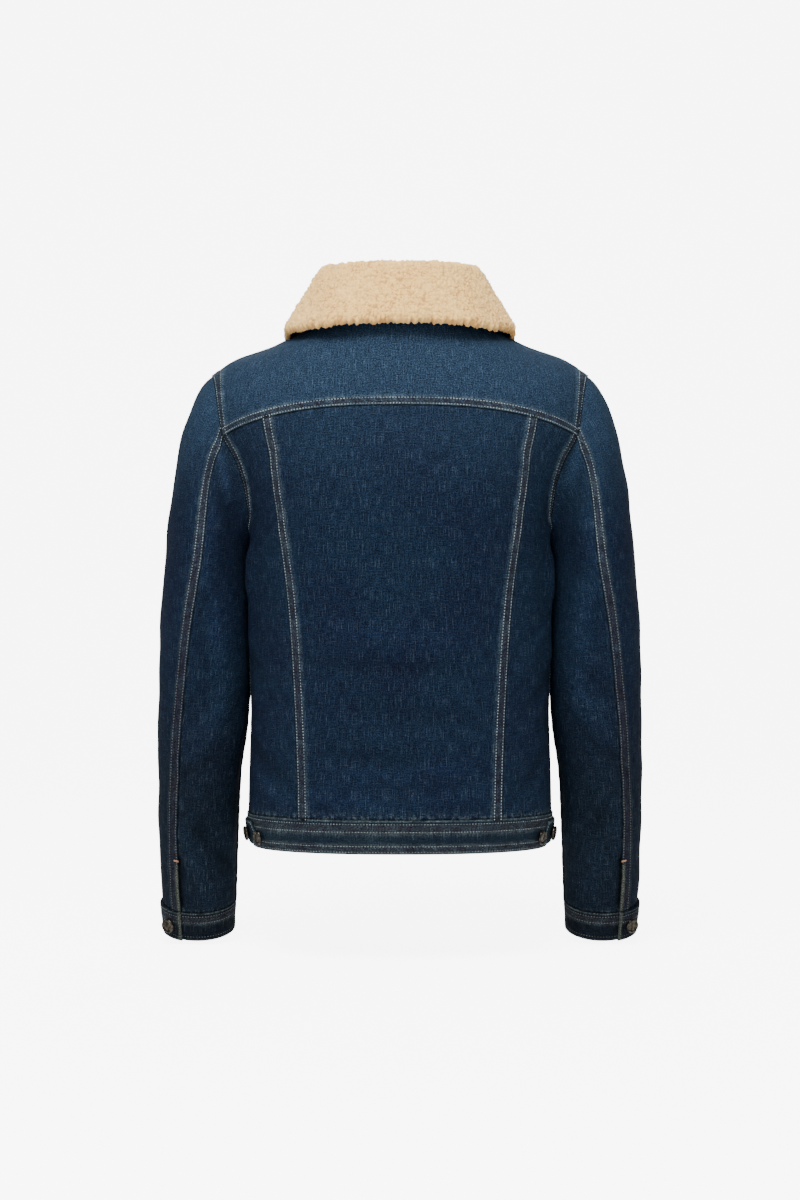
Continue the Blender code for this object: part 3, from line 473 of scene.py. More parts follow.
def at_distances(values, length, wished):
    """A grid's values at wished distances along each row, in straight lines between its points. A
    distance below 0 or past the end goes on the same way."""
    left = np.clip((length[:, None, :] <= wished[:, :, None]).sum(-1) - 1, 0, values.shape[1] - 2)
    start = np.take_along_axis(length, left, 1)
    share = (wished - start) / (np.take_along_axis(length, left + 1, 1) - start)
    first = np.take_along_axis(values, left[..., None], 1)
    return first + (np.take_along_axis(values, left[..., None] + 1, 1) - first) * share[..., None]


def respaced(grid, low, high, pitch=PITCH):
    """Every row's points moved to fixed distances from its ends, and to an even spread between them."""
    length = lengths(grid)
    a, b = lines_across(length[:, -1].mean(), low, high, pitch)
    return at_distances(grid, length, a + b * length[:, -1:])


def turned(grid):
    """The grid with its rows as columns."""
    return np.swapaxes(grid, 0, 1)


def normals_of(grid):
    """Unit normals: the step across the columns times the step up the rows."""
    return unit(np.cross(np.gradient(grid, axis=1), np.gradient(grid, axis=0)))


def area_of(grid):
    """The sum of all cells' areas: the length of (step across) x (step up), where x is the cross
    product."""
    cells = np.cross(np.diff(grid, axis=1)[:-1], np.diff(grid, axis=0)[:, :-1])
    return float(np.linalg.norm(cells, axis=-1).sum())


felled = edge_lines(FELLED_ROWS[1] + LAP_REACH)
print("a felled edge has", len(felled), "lines in its last", round(felled[-1] * 1000, 1), "mm")

# %% [markdown]
# ## From arrays to a mesh
# Blender can take a whole array at once with foreach_set, which is far faster than adding points one by
# one. A panel is closed: its outer face, its inner face turned round, and a rim that joins them. The
# numbers that a material reads, such as the distance from a seam, go in as attributes, one value a point.

# %% Mesh helpers
def show(piece):
    """Puts an object into the scene."""
    bpy.context.scene.collection.objects.link(piece)


def put_mesh(name, points, faces, materials, uv=None, marks=None, face_material=None):
    """A mesh object at the origin from whole arrays: points, faces of three or four corners, a UV pair
    and named numbers for every point."""
    mesh = bpy.data.meshes.new(name)
    mesh.vertices.add(len(points))
    mesh.vertices.foreach_set("co", np.asarray(points, np.float32).ravel())
    sides = faces.shape[1]
    mesh.loops.add(faces.size)
    mesh.loops.foreach_set("vertex_index", faces.astype(np.int32).ravel())
    mesh.polygons.add(len(faces))
    mesh.polygons.foreach_set("loop_start", np.arange(0, faces.size, sides, dtype=np.int32))
    for material in materials:
        mesh.materials.append(material)
    if face_material is not None:
        mesh.polygons.foreach_set("material_index", face_material.astype(np.int32))
    if uv is not None:
        layer = mesh.uv_layers.new(name="cloth")
        layer.uv.foreach_set("vector", np.asarray(uv, np.float32)[faces.ravel()].ravel())
    for key, values in (marks or {}).items():
        mesh.attributes.new(key, "FLOAT", "POINT").data.foreach_set("value", np.asarray(values, np.float32))
    mesh.update(calc_edges=True)
    mesh.validate()
    mesh.shade_smooth()
    piece = bpy.data.objects.new(name, mesh)
    show(piece)
    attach(piece, "root")
    return piece


def grid_quads(rows, columns):
    """Corners of every cell of a grid, in the order that makes the face point outwards."""
    index = np.arange(rows * columns).reshape(rows, columns)
    corners = [index[:-1, :-1], index[:-1, 1:], index[1:, 1:], index[1:, :-1]]
    return np.stack(corners, -1).reshape(-1, 4)


def wall_faces(rows, columns):
    """A closed wall between two grids: the outer cells, the inner cells turned round, and the rim. Also
    gives each face's material: 0 outside and on the rim, 1 inside."""
    index = np.arange(rows * columns).reshape(rows, columns)
    outer = grid_quads(rows, columns)
    rim = np.concatenate([index[0, :-1], index[:-1, -1], index[-1, :0:-1], index[:0:-1, 0]])
    after, n = np.roll(rim, -1), rows * columns
    sides = np.stack([after, rim, rim + n, after + n], -1)
    kind = np.concatenate([np.zeros(len(outer)), np.ones(len(outer)), np.zeros(len(sides))])
    return np.concatenate([outer, outer[:, ::-1] + n, sides]), kind


print("a 3 by 3 grid makes", len(wall_faces(3, 3)[0]), "faces of wall")

# %% [markdown]
# ## Denim
# Denim is a twill of indigo warp over undyed weft. Close up it has a fine diagonal rib; from further off
# the eye sees slubs, thick places of the warp that wash out paler and run up the cloth, and slow patches
# of fading. Each effect is a node group, so that every denim piece can use it with its own values. Wear
# isn't spread at random: it sits on the fold of a lapped seam, and between the rows of stitches, where a
# washed seam ropes up into slanting light and dark patches. So each panel carries its distances from the
# fold, from the first row of stitches, along the seam and from a lap beside it, where a shadow is painted,
# and more numbers for gathers, rubbed edges and creases, whose troughs get painted shade and whose tops
# get painted light.

# %% Node helpers
def add(tree, kind, inputs=(), **settings):
    """A shader node with its settings; inputs pairs a socket's name or number with a value or another
    socket."""
    node = tree.nodes.new("ShaderNode" + kind)
    for key, value in settings.items():
        setattr(node, key, value)
    for key, value in dict(inputs).items():
        if isinstance(value, bpy.types.NodeSocket):
            tree.links.new(value, node.inputs[key])
        else:
            node.inputs[key].default_value = value
    return node


def math_node(tree, operation, first, second=0.0, third=0.0):
    """One sum with its three inputs; MULTIPLY_ADD gives first * second + third."""
    return add(tree, "Math", {0: first, 1: second, 2: third}, operation=operation).outputs[0]


def product(tree, first, second):
    """first * second."""
    return math_node(tree, "MULTIPLY", first, second)


def mixed(tree, factor, first, second):
    """Colours first and second mixed by factor."""
    node = add(tree, "Mix", data_type="RGBA")
    for socket, value in zip((node.inputs[0], node.inputs[6], node.inputs[7]), (factor, first, second)):
        if isinstance(value, bpy.types.NodeSocket):
            tree.links.new(value, socket)
        else:
            socket.default_value = value
    return node.outputs[2]


def ramped(tree, value, low, high, to_low=0.0, to_high=1.0, smooth_steps=True):
    """Carries low..high over to to_low..to_high, held at both ends; low may be the larger one."""
    kind = "SMOOTHSTEP" if smooth_steps else "LINEAR"
    names = {0: value, 1: low, 2: high, 3: to_low, 4: to_high}
    return add(tree, "MapRange", names, interpolation_type=kind).outputs[0]


print("helpers:", add.__name__, mixed.__name__, ramped.__name__)

# %% Helpers for groups and materials
def new_group(name, inputs, outputs):
    """An empty shader node group with named sockets, and its two end nodes."""
    group = bpy.data.node_groups.new(name, "ShaderNodeTree")
    for key, (kind, value) in inputs.items():
        socket = group.interface.new_socket(key, in_out="INPUT", socket_type="NodeSocket" + kind)
        if value is not None:
            socket.default_value = value
    for key in outputs:
        group.interface.new_socket(key, in_out="OUTPUT", socket_type="NodeSocketFloat")
    return group, group.nodes.new("NodeGroupInput"), group.nodes.new("NodeGroupOutput")


def new_material(name, roughness, **more):
    """A material with its tree, its shader and the Object coordinates; settings go on the shader's own
    sockets."""
    material = bpy.data.materials.new(name)
    material.use_nodes = True
    tree = material.node_tree
    shader = tree.nodes["Principled BSDF"]
    for key, value in {"Roughness": roughness, **more}.items():
        shader.inputs[key.replace("_", " ")].default_value = value
    return material, tree, shader, add(tree, "TexCoord").outputs["Object"]


def finish_material(tree, shader, colour, height, distance, strength):
    """Joins colour and bump up to the shader; distance is how high the bump's white stands, in metres."""
    tree.links.new(colour, shader.inputs["Base Color"])
    bump = add(tree, "Bump", {"Strength": strength, "Distance": distance, "Height": height})
    tree.links.new(bump.outputs[0], shader.inputs["Normal"])


def stretched_noise(tree, vector, scale, detail=2.0, roughness=0.6):
    """Noise whose spots are long one way: the cloth's coordinates times a different scale each way."""
    place = add(tree, "Mapping", {"Vector": vector, "Scale": scale}, vector_type="POINT").outputs[0]
    inputs = {"Vector": place, "Scale": 1.0, "Detail": detail, "Roughness": roughness}
    return add(tree, "TexNoise", inputs).outputs["Fac"]


def joined_up(group, end, values):
    """The group's results carried to its end node, one by one."""
    for socket, value in zip(end.inputs, values):
        group.links.new(value, socket)
    return group


print("more helpers:", new_group.__name__, new_material.__name__, stretched_noise.__name__)

# %% Threads and fading of the cloth
SLUB, CROSS, GRAIN, GATHER = (1120, 58, 1), (80, 1080, 1), (740, 680, 1), (240, 150, 1)


def twill_group():
    """Threads of the cloth as noises: Slub runs up the warp, Cross along the weft and Grain is nearly
    round. Gather is the soft streaks of drawn-in cloth and Rib the twill's diagonal wave, for the
    bump."""
    results = ("Slub", "Cross", "Grain", "Gather", "Rib")
    group, start, end = new_group("twill", {"Vector": ("Vector", None)}, results)
    vector = start.outputs[0]
    rib = add(group, "TexWave", {0: vector, "Scale": 520.0, "Distortion": 1.2, "Detail Scale": 2.0})
    rib.bands_direction = "DIAGONAL"
    threads = [stretched_noise(group, vector, scale) for scale in (SLUB, CROSS, GRAIN, GATHER)]
    return joined_up(group, end, threads + [rib.outputs["Fac"]])


def fading_group():
    """Patches of washing: a slow noise for whole areas and a fine one for the mottle inside them."""
    group, start, end = new_group("fading", {"Vector": ("Vector", None)}, ("Slow", "Mottle"))
    vector = start.outputs[0]
    slow = add(group, "TexNoise", {"Vector": vector, "Scale": 9.0, "Detail": 2.0})
    fine = add(group, "TexNoise", {"Vector": vector, "Scale": 95.0, "Detail": 4.0, "Roughness": 0.65})
    return joined_up(group, end, [slow.outputs["Fac"], fine.outputs["Fac"]])


TWILL, FADING = twill_group(), fading_group()
print("node groups:", TWILL.name, "and", FADING.name)


# %% Wear of a seam
def seam_wear_and_shadow_group():
    """Wear of a lapped seam from four distances on the cloth, with painted shadow beside it. Fold is the
    pale line on the folded edge, Rung the pale bars that stand across the seam, Rope the dark cloth in
    between, with a painted shadow line below a band's second row as dark as Ridge, and Shade the painted
    shadow that the lap casts on the neighbour beside it. Distances are in metres, as if the rows were 6.3
    mm
    apart: a wider seam's are scaled to that."""
    names = {"From fold": 1.0, "From row": 1.0, "Along fold": 0.0, "Beside lap": 1.0}
    names.update({"Bars a metre": 150.0, "Ridge": 0.0})
    sockets = {key: ("Float", value) for key, value in names.items()}
    group, start, end = new_group("seam wear and shadow", sockets, ("Fold", "Rung", "Rope", "Shade"))
    fold_edge, away, run, beside, bars_a_metre, ridge = (start.outputs[k] for k in range(6))
    slant = math_node(group, "MULTIPLY_ADD", away, 0.8, run)
    place = add(group, "CombineXYZ", {0: slant, 1: away}).outputs[0]
    patch = stretched_noise(group, place, (210, 90, 1))
    along = {"W": product(group, slant, bars_a_metre), "Randomness": 0.8}
    bars = add(group, "TexVoronoi", along, voronoi_dimensions="1D", feature="DISTANCE_TO_EDGE")
    bar = ramped(group, bars.outputs["Distance"], 0.06, 0.15, 1.0, 0.0)
    near = ramped(group, away, -0.0010, 0.0006)
    on_lap = product(group, near, ramped(group, away, 0.0058, 0.0070, 1.0, 0.0))
    slow = ramped(group, stretched_noise(group, place, (38, 15, 1)), 0.36, 0.62, 0.42, 1.0)
    uneven = product(group, ramped(group, patch, 0.35, 0.65, 0.45, 1.0), slow)
    fold = product(group, ramped(group, fold_edge, 0.0006, 0.0028, 0.66, 0.0), uneven)
    rung = product(group, bar, product(group, ramped(group, away, 0.0060, 0.0110, 1.0, 0.0), near))
    fading_out = ramped(group, away, 0.0066, 0.0112, 0.32, 0.0)
    outside = product(group, ramped(group, away, 0.0056, 0.0066), fading_out)
    rung = product(group, math_node(group, "MAXIMUM", rung, outside), uneven)
    dark = product(group, on_lap, ramped(group, patch, 0.62, 0.40, 0.35, 1.0))
    # A painted shadow line below a band's second row, as dark as ridge
    fading_out = ramped(group, away, 0.0078, 0.0092, 1.0, 0.0)
    below = product(group, ramped(group, away, 0.0066, 0.0072), fading_out)
    dark = math_node(group, "MAXIMUM", dark, product(group, below, ridge))
    # Painted shadow that the lap casts on the neighbour beside it
    shade = ramped(group, beside, 0.0030, 0.0050, 1.0, 0.0)
    return joined_up(group, end, (fold, rung, dark, shade))


SEAM_WEAR_AND_SHADOW = seam_wear_and_shadow_group()
print("node group:", SEAM_WEAR_AND_SHADOW.name, "of", len(SEAM_WEAR_AND_SHADOW.nodes), "nodes")


# %% Colour and brightness of denim
# The numbers that the cloth carries, each with its value where there is no wear and no painted shade
MARKS = {
    "from_fold": 1.0,  # metres from the nearest edge that laps or is folded
    "from_row": 1.0,  # from the nearest seam's first row, scaled to the yoke's rows
    "along_fold": 0.0,  # and along that seam
    # beside_lap places the painted shadow that a lap casts on this panel
    "beside_lap": 1.0,  # from a neighbour that lies over this panel
    "crest": 0.0,  # how strongly a seam draws the cloth in, up to 0.7
    # swell sets painted shade in a crease's trough and painted light on its top
    "swell": 0.0,  # -1 in the trough of a crease to 1 on its top
    "worn_edge": 0.0,  # 1 where an edge is rubbed
}
WORN, RUBBED_EDGE = (0.078, 0.106, 0.114, 1), (0.044, 0.050, 0.040, 1)
RED_BROWN, WEFT = (0.0085, 0.0064, 0.0118, 1), (0.040, 0.052, 0.056, 1)


def denim_colour(tree, weave, fade, wear_and_shadow, marks, height_of, blues, low, wear_below, washed_and_lit):
    """Blue by fading and by height, lighter towards the top partly as painted light from above, then rope,
    rungs, fold, gathers, rubbed edges and weft laid over it.
    """
    deep, middle, light = blues
    patches = math_node(tree, "MULTIPLY_ADD", fade.outputs["Mottle"], 0.45, fade.outputs["Slow"])
    blue = mixed(tree, ramped(tree, patches, 0.56, 0.90), deep, middle)
    # Lighter towards the top: partly wash fading, partly painted light from above
    blue = mixed(tree, ramped(tree, height_of, -0.27, -0.07, 0.0, washed_and_lit), blue, light)
    if low:
        blue = mixed(tree, ramped(tree, height_of, -0.36, -0.60, 0.0, 0.75), blue, low)
    strength = ramped(tree, height_of, -0.50, -0.16, wear_below, 1.0)
    near_hem = ramped(tree, height_of, -0.535, -0.580, 0.0, 0.0 if low else 0.9)
    strength = math_node(tree, "MAXIMUM", strength, near_hem)
    # Rope carries the roped seam's dark patches and the painted shadow line below a band's second row
    blue = mixed(tree, product(tree, wear_and_shadow.outputs["Rope"], 0.84), blue, RED_BROWN)
    for mask in ("Rung", "Fold"):
        blue = mixed(tree, product(tree, wear_and_shadow.outputs[mask], strength), blue, WORN)
    drawn_in = product(tree, ramped(tree, weave.outputs["Gather"], 0.42, 0.68), marks["crest"])
    blue = mixed(tree, drawn_in, blue, WORN)
    blue = mixed(tree, product(tree, marks["worn_edge"], 0.75), blue, RUBBED_EDGE)
    for threads, start, most in (("Slub", 0.54, 0.19), ("Cross", 0.55, 0.14)):
        blue = mixed(tree, ramped(tree, weave.outputs[threads], start, start + 0.16, 0.0, most), blue, WEFT)
    return blue


def denim_brightness(tree, weave, fade, wear_and_shadow, marks):
    """What the blue is multiplied by: 1.7 * Slub + 0.1, with the other threads added about their middle,
    washed out on thick slubs, with a painted shadow beside a lap, and painted shade in the troughs of
    creases and painted light on their tops."""
    slub = weave.outputs["Slub"]
    bright = math_node(tree, "MULTIPLY_ADD", slub, 1.7, 0.10)
    grain, cross, mottle = weave.outputs["Grain"], weave.outputs["Cross"], fade.outputs["Mottle"]
    for threads, amount in ((grain, 5.2), (cross, 1.4), (mottle, 0.35)):
        centred = math_node(tree, "SUBTRACT", threads, 0.5)
        bright = math_node(tree, "MULTIPLY_ADD", centred, amount, bright)
    bright = math_node(tree, "ADD", bright, ramped(tree, slub, 0.60, 0.72, 0.0, 0.42))
    # Painted shadow beside a lap: up to 65 percent darker
    shaded = math_node(tree, "MULTIPLY_ADD", wear_and_shadow.outputs["Shade"], -0.65, 1.0)
    # Painted shade in the troughs of creases and painted light on their tops
    shaded = product(tree, shaded, ramped(tree, marks["swell"], -1.0, 1.0, 0.62, 1.40, False))
    return product(tree, math_node(tree, "MAXIMUM", bright, 0.22), shaded)


print("the cloth carries", *MARKS)

# %% Denim materials
def denim_material(name, blues, low=None, wear_below=0.60, washed_and_lit=0.85, bars=150.0, ridge=0.0):
    """Indigo cloth of three blues: deep and middle blue mixed by fading, lighter towards the shoulders,
    partly where sun and washing fade it and partly as painted light from above. The threads multiply that
    blue, and worn places along the seams show the undyed weft: fully at the shoulders and by the share
    wear_below at the hem. washed is the share of the light blue at the top, painted light in part; low is
    a duller colour that a sleeve takes on downwards. bars is how many rungs stand on a metre of seam."""
    material, tree, shader, space = new_material(name, 0.88, Specular_IOR_Level=0.05)
    uv = add(tree, "UVMap", uv_map="cloth").outputs[0]
    weave = add(tree, "Group", {"Vector": uv}, node_tree=TWILL)
    fade = add(tree, "Group", {"Vector": space}, node_tree=FADING)
    marks = {key: add(tree, "Attribute", attribute_name=key).outputs["Fac"] for key in MARKS}
    from_seam = list(marks.values())[:4]
    wear_and_shadow = add(tree, "Group", dict(enumerate(from_seam + [bars, ridge])), node_tree=SEAM_WEAR_AND_SHADOW)
    height_of = add(tree, "SeparateXYZ", {0: space}).outputs[2]
    blue = denim_colour(tree, weave, fade, wear_and_shadow, marks, height_of, blues, low, wear_below, washed_and_lit)
    bright = denim_brightness(tree, weave, fade, wear_and_shadow, marks)
    cloth = add(tree, "VectorMath", {0: blue, "Scale": bright}, operation="SCALE").outputs[0]
    height = math_node(tree, "MULTIPLY_ADD", weave.outputs["Slub"], 0.8, weave.outputs["Rib"])
    finish_material(tree, shader, cloth, height, 0.00022, 0.45)
    return material


# LIGHT_BLUE is the colour towards the top: partly wash fading, partly painted light from above
LIGHT_BLUE, DULL_BLUE = (0.0140, 0.0290, 0.0525, 1), (0.0032, 0.0066, 0.0118, 1)
INDIGO = ((0.0033, 0.0070, 0.0188, 1), (0.0038, 0.0102, 0.0228, 1), LIGHT_BLUE)
BAND_BLUE = ((0.0045, 0.0092, 0.0165, 1), (0.0075, 0.0138, 0.0205, 1), LIGHT_BLUE)
CUFF_BLUE = ((0.0026, 0.0046, 0.0084, 1), (0.0038, 0.0066, 0.0108, 1), LIGHT_BLUE)
INSIDE_BLUE = ((0.05, 0.07, 0.10, 1), (0.09, 0.115, 0.15, 1), (0.09, 0.115, 0.15, 1))
denim = denim_material("denim_indigo", INDIGO)
denim_back = denim_material("denim_lower_back", INDIGO, washed_and_lit=0.42)
denim_sleeve = denim_material("denim_sleeve", INDIGO, low=DULL_BLUE, wear_below=0.30)
# ridge: strength of the painted shadow line below the second row of bands and cuffs
denim_band = denim_material("denim_band", BAND_BLUE, wear_below=0.95, bars=290.0, ridge=0.8)
denim_cuff = denim_material("denim_cuff", CUFF_BLUE, wear_below=0.34, bars=290.0, ridge=0.5)
denim_inside = denim_material("denim_inside", INSIDE_BLUE)
print("denim made of", len(denim.node_tree.nodes), "nodes")


# %% Thread and bronze
def plain_material(name, colour, other, scale, roughness, bump_height=0.0, metallic=0.0, low_colour=None):
    """A finish whose colour drifts between two by noise, with a bump that follows it; low_colour takes
    over downwards."""
    material, tree, shader, space = new_material(name, roughness, Metallic=metallic)
    noise = add(tree, "TexNoise", {"Vector": space, "Scale": scale, "Detail": 3.0}).outputs["Fac"]
    drifting = mixed(tree, ramped(tree, noise, 0.35, 0.65), colour, other)
    if low_colour:
        height_of = add(tree, "SeparateXYZ", {0: space}).outputs[2]
        drifting = mixed(tree, ramped(tree, height_of, -0.44, -0.20), low_colour, drifting)
    if bump_height:
        finish_material(tree, shader, drifting, noise, bump_height, 0.6)
    else:
        tree.links.new(drifting, shader.inputs["Base Color"])
    return material


PALE, GREYED, DULL = (0.27, 0.32, 0.34, 1), (0.080, 0.108, 0.122, 1), (0.070, 0.074, 0.066, 1)
BAND_THREAD = ((0.170, 0.200, 0.190, 1), (0.050, 0.068, 0.070, 1))
CUFF_THREAD = ((0.075, 0.080, 0.068, 1), (0.026, 0.031, 0.029, 1))
ORANGE = ((0.34, 0.15, 0.075, 1), (0.24, 0.15, 0.10, 1))
BRONZE = ((0.010, 0.009, 0.007, 1), (0.060, 0.052, 0.040, 1))
thread = plain_material("thread_pale", PALE, GREYED, 60.0, 0.75)
thread_sleeve = plain_material("thread_sleeve", PALE, GREYED, 60.0, 0.75, low_colour=DULL)
thread_band = plain_material("thread_band", *BAND_THREAD, 140.0, 0.75)
thread_dull = plain_material("thread_dull", *CUFF_THREAD, 90.0, 0.8)
thread_orange = plain_material("thread_bar_tack", *ORANGE, 400.0, 0.7)
bronze = plain_material("bronze_antique", *BRONZE, 260.0, 0.27, bump_height=0.0001, metallic=0.95)


print("finishes:", thread.name, thread_orange.name, bronze.name)

# %% Shearling
# Wool colours: painted shade in the hollows of the tufts, the tips, painted shade between the curls, fair
# patches
HOLLOW_SHADE, TIP = (0.42, 0.18, 0.045, 1), (1.0, 0.605, 0.172, 1)
SHADE_BETWEEN_CURLS, FAIR_PATCH = (0.55, 0.28, 0.08, 1), (1.0, 0.68, 0.225, 1)


def shearling_material():
    """Cream wool: the height of its tufts is a number on the mesh, so that hollows get painted shade,
    darker and warmer than tips. One twisted noise draws the finest curls, with painted shade between them
    in the colour, and as a bump."""
    sheen = {"Sheen_Weight": 0.18, "Sheen_Roughness": 0.6}
    material, tree, shader, space = new_material("shearling_cream", 0.95, Specular_IOR_Level=0.12, **sheen)
    tuft = add(tree, "Attribute", attribute_name="tuft").outputs["Fac"]
    twisted = {"Vector": space, "Scale": 620.0, "Detail": 3.0, "Distortion": 1.6}
    curls = add(tree, "TexNoise", twisted).outputs["Fac"]
    slow = add(tree, "TexNoise", {"Vector": space, "Scale": 30.0, "Detail": 2.0}).outputs["Fac"]
    # Painted shade in the hollows between tufts
    wool = mixed(tree, ramped(tree, tuft, 0.0, 0.50), HOLLOW_SHADE, TIP)
    # Painted shade between the finest curls
    wool = mixed(tree, ramped(tree, curls, 0.50, 0.34, 0.0, 0.85), wool, SHADE_BETWEEN_CURLS)
    wool = mixed(tree, ramped(tree, slow, 0.35, 0.70, 0.0, 0.30), wool, FAIR_PATCH)
    finish_material(tree, shader, wool, curls, 0.0013, 0.9)
    return material


shearling = shearling_material()
print("wool:", shearling.name, "of", len(shearling.node_tree.nodes), "nodes")

# %% [markdown]
# ## Laps, ropes and gathers
# Pressed and washed, a lapped seam is full of relief: the step where the cloth is double, the roped swell
# between the two rows where the layers have shrunk unevenly, and the gathers that thread and bands draw
# into the cloth beside them. Each is a function of two distances: away, square to the seam, and run,
# along it.

# %% The relief of a seam
def lap_out(away, second_row, lap=DENIM):
    """How far a lapped edge's face stands out: a cloth's thickness up to the second row, rounded at the
    fold."""
    rise = lap * (1 - smooth((away - second_row - 0.0010) / 0.0030))
    return rise - 0.4 * lap * np.exp(-np.clip(away + LAP_REACH, 0, 1) / 0.0005)


def lap_in(away, wall):
    """Inner face: lifted just over the neighbour where the edge reaches past the seam."""
    return (wall + 0.0002) * (1 - smooth((away + 0.0003) / 0.0011))


def rope(run, across, seed):
    """Twisted swell between the stitch rows: a sine along the seam, 21 mm long and slanted, whose phase
    wanders. It fades out over 2.4 mm each way across the seam."""
    rng = np.random.default_rng(seed)
    a, b = rng.uniform(0, 6.28, 2)
    wander = 1.3 * np.sin(run * 61 + a), 0.8 * np.sin(run * 131 + b)
    phase = FULL_TURN * (run + 1.5 * across) / 0.021 + wander[0] + wander[1]
    return np.sin(phase) * np.exp(-((across / 0.0024) ** 2))


def puckers(run, away, reach, seed):
    """Short gathers square to a seam, about 13.5 mm apart, that fade out over their reach."""
    rng = np.random.default_rng(seed)
    a, b, c = rng.uniform(0, 6.28, 3)
    wave = np.sin(FULL_TURN * run / 0.0135 + 2.0 * np.sin(run * 47 + a)) + 0.7 * np.sin(run * 290 + b)
    strength = 0.55 + 0.45 * np.sin(run * 38 + c)
    return wave * strength * smooth((away - 0.0005) / 0.003) * np.exp(-np.clip(away, 0, 1) / reach)


print("a lap rises", round(float(lap_out(0.004, YOKE_ROWS[1])) * 1000, 2), "mm")

# %% [markdown]
# ## Sewing a panel
# One function turns any dense grid into a sewn panel, in the order of a workroom. It cuts the grid, with
# lines where the seams need them, presses the creases in, raises the lapped edges over their neighbours,
# draws in the rows of stitches and gives the cloth its wall. Then it marks where the panel wears and
# where shade and light are painted on it, and keeps the lines on which the stitches will lie.

# %% Cut a panel
SIDES = ("left", "right", "bottom", "top")
Panel = namedtuple("Panel", "kinds rows grid across up away run")


def past_seam(kind):
    """How far an edge of this kind reaches past its seam."""
    return LAP_REACH if kind == "lap" else 0.0


def cut_panel(dense, kinds, rows):
    """The panel's own grid with, for each side, every point's distance from that seam and along it."""
    lines = {}
    for side, kind in kinds.items():
        past = past_seam(kind)
        last_row = rows.get(side, FELLED_ROWS)[-1]
        lines[side] = PLAIN_LINES if kind == "under" else edge_lines(max(last_row + past, 0.0075)) - past
    grid = respaced(dense, lines["left"], lines["right"])
    grid = turned(respaced(turned(grid), lines["bottom"], lines["top"]))
    across, up = lengths(grid), turned(lengths(turned(grid)))
    away = {"left": across, "right": across[:, -1:] - across, "bottom": up, "top": up[-1:] - up}
    away = {side: away[side] - past_seam(kinds[side]) for side in SIDES}
    run = {"left": up, "right": up, "bottom": across, "top": across}
    return Panel(kinds, rows, grid, across, up, away, run)


def creased(panel, folds, swell, seed):
    """The grid with its folds and slow swells, which fade out 30 mm from every edge."""
    nearest = np.minimum.reduce(list(panel.away.values()))
    swells = swell * waves(panel.grid, 0.07, seed) * smooth(nearest / 0.03)
    lift = lift_of_folds(panel.grid, folds) + swells
    return panel.grid + normals_of(panel.grid) * lift[..., None]


print("a lap reaches", past_seam("lap") * 1000, "mm past its seam")

# %% Relief of a panel
ROW_SPACING = 0.0063  # between the rows of the yoke; the wear and the rope are drawn for it
STITCH_GROOVE, GROOVE_WIDTH = 0.00028, 0.0009
ROPE_HEIGHT, PUCKER_HEIGHT, PUCKER_REACH = 0.00030, 0.00020, 0.008
PLAIN_GATHER = (0.00016, 0.007)  # height and reach of the gathers beside a seam's lower layer
BAND_GATHER = (0.00055, 0.010)  # and above a band, which draws the cloth in


def relief(panel, lap, below, gather, seed):
    """How far the laps lift the outer face and the inner one, how far both swell with ropes and gathers,
    how deep the stitches sink, and how strongly the cloth is drawn in."""
    out, low, swollen, groove, crest = (np.zeros(panel.across.shape) for _ in range(5))
    for number, (side, kind) in enumerate(panel.kinds.items()):
        away, run, rows = panel.away[side], panel.run[side], panel.rows.get(side)
        if kind == "lap":
            out = np.maximum(out, lap_out(away, rows[-1], lap))
            low = np.maximum(low, lap_in(away, below))
        if kind == "fold":
            out = out - 0.0005 * np.exp(-away / 0.0006)
        if kind == "under":
            height, reach = gather.get(side, PLAIN_GATHER)
            swollen += height * puckers(run, away, reach, seed + 20 + number)
            crest += 0.75 * height / BAND_GATHER[0] * np.exp(-((away / (0.62 * reach)) ** 2))
        elif rows:
            narrow = ROW_SPACING / max(rows[-1] - rows[0], ROW_SPACING)
            swollen += ROPE_HEIGHT * rope(run, (away - np.mean(rows)) * narrow, seed + number)
            groove += sum(STITCH_GROOVE * np.exp(-(((away - row) / GROOVE_WIDTH) ** 2)) for row in rows)
            beyond = away - rows[-1] - 0.002
            swollen += PUCKER_HEIGHT * puckers(run, beyond, PUCKER_REACH, seed + 10 + number)
    return out, low, swollen, groove, crest


print("a stitch sinks", round(STITCH_GROOVE * 1000, 2), "mm into the cloth")

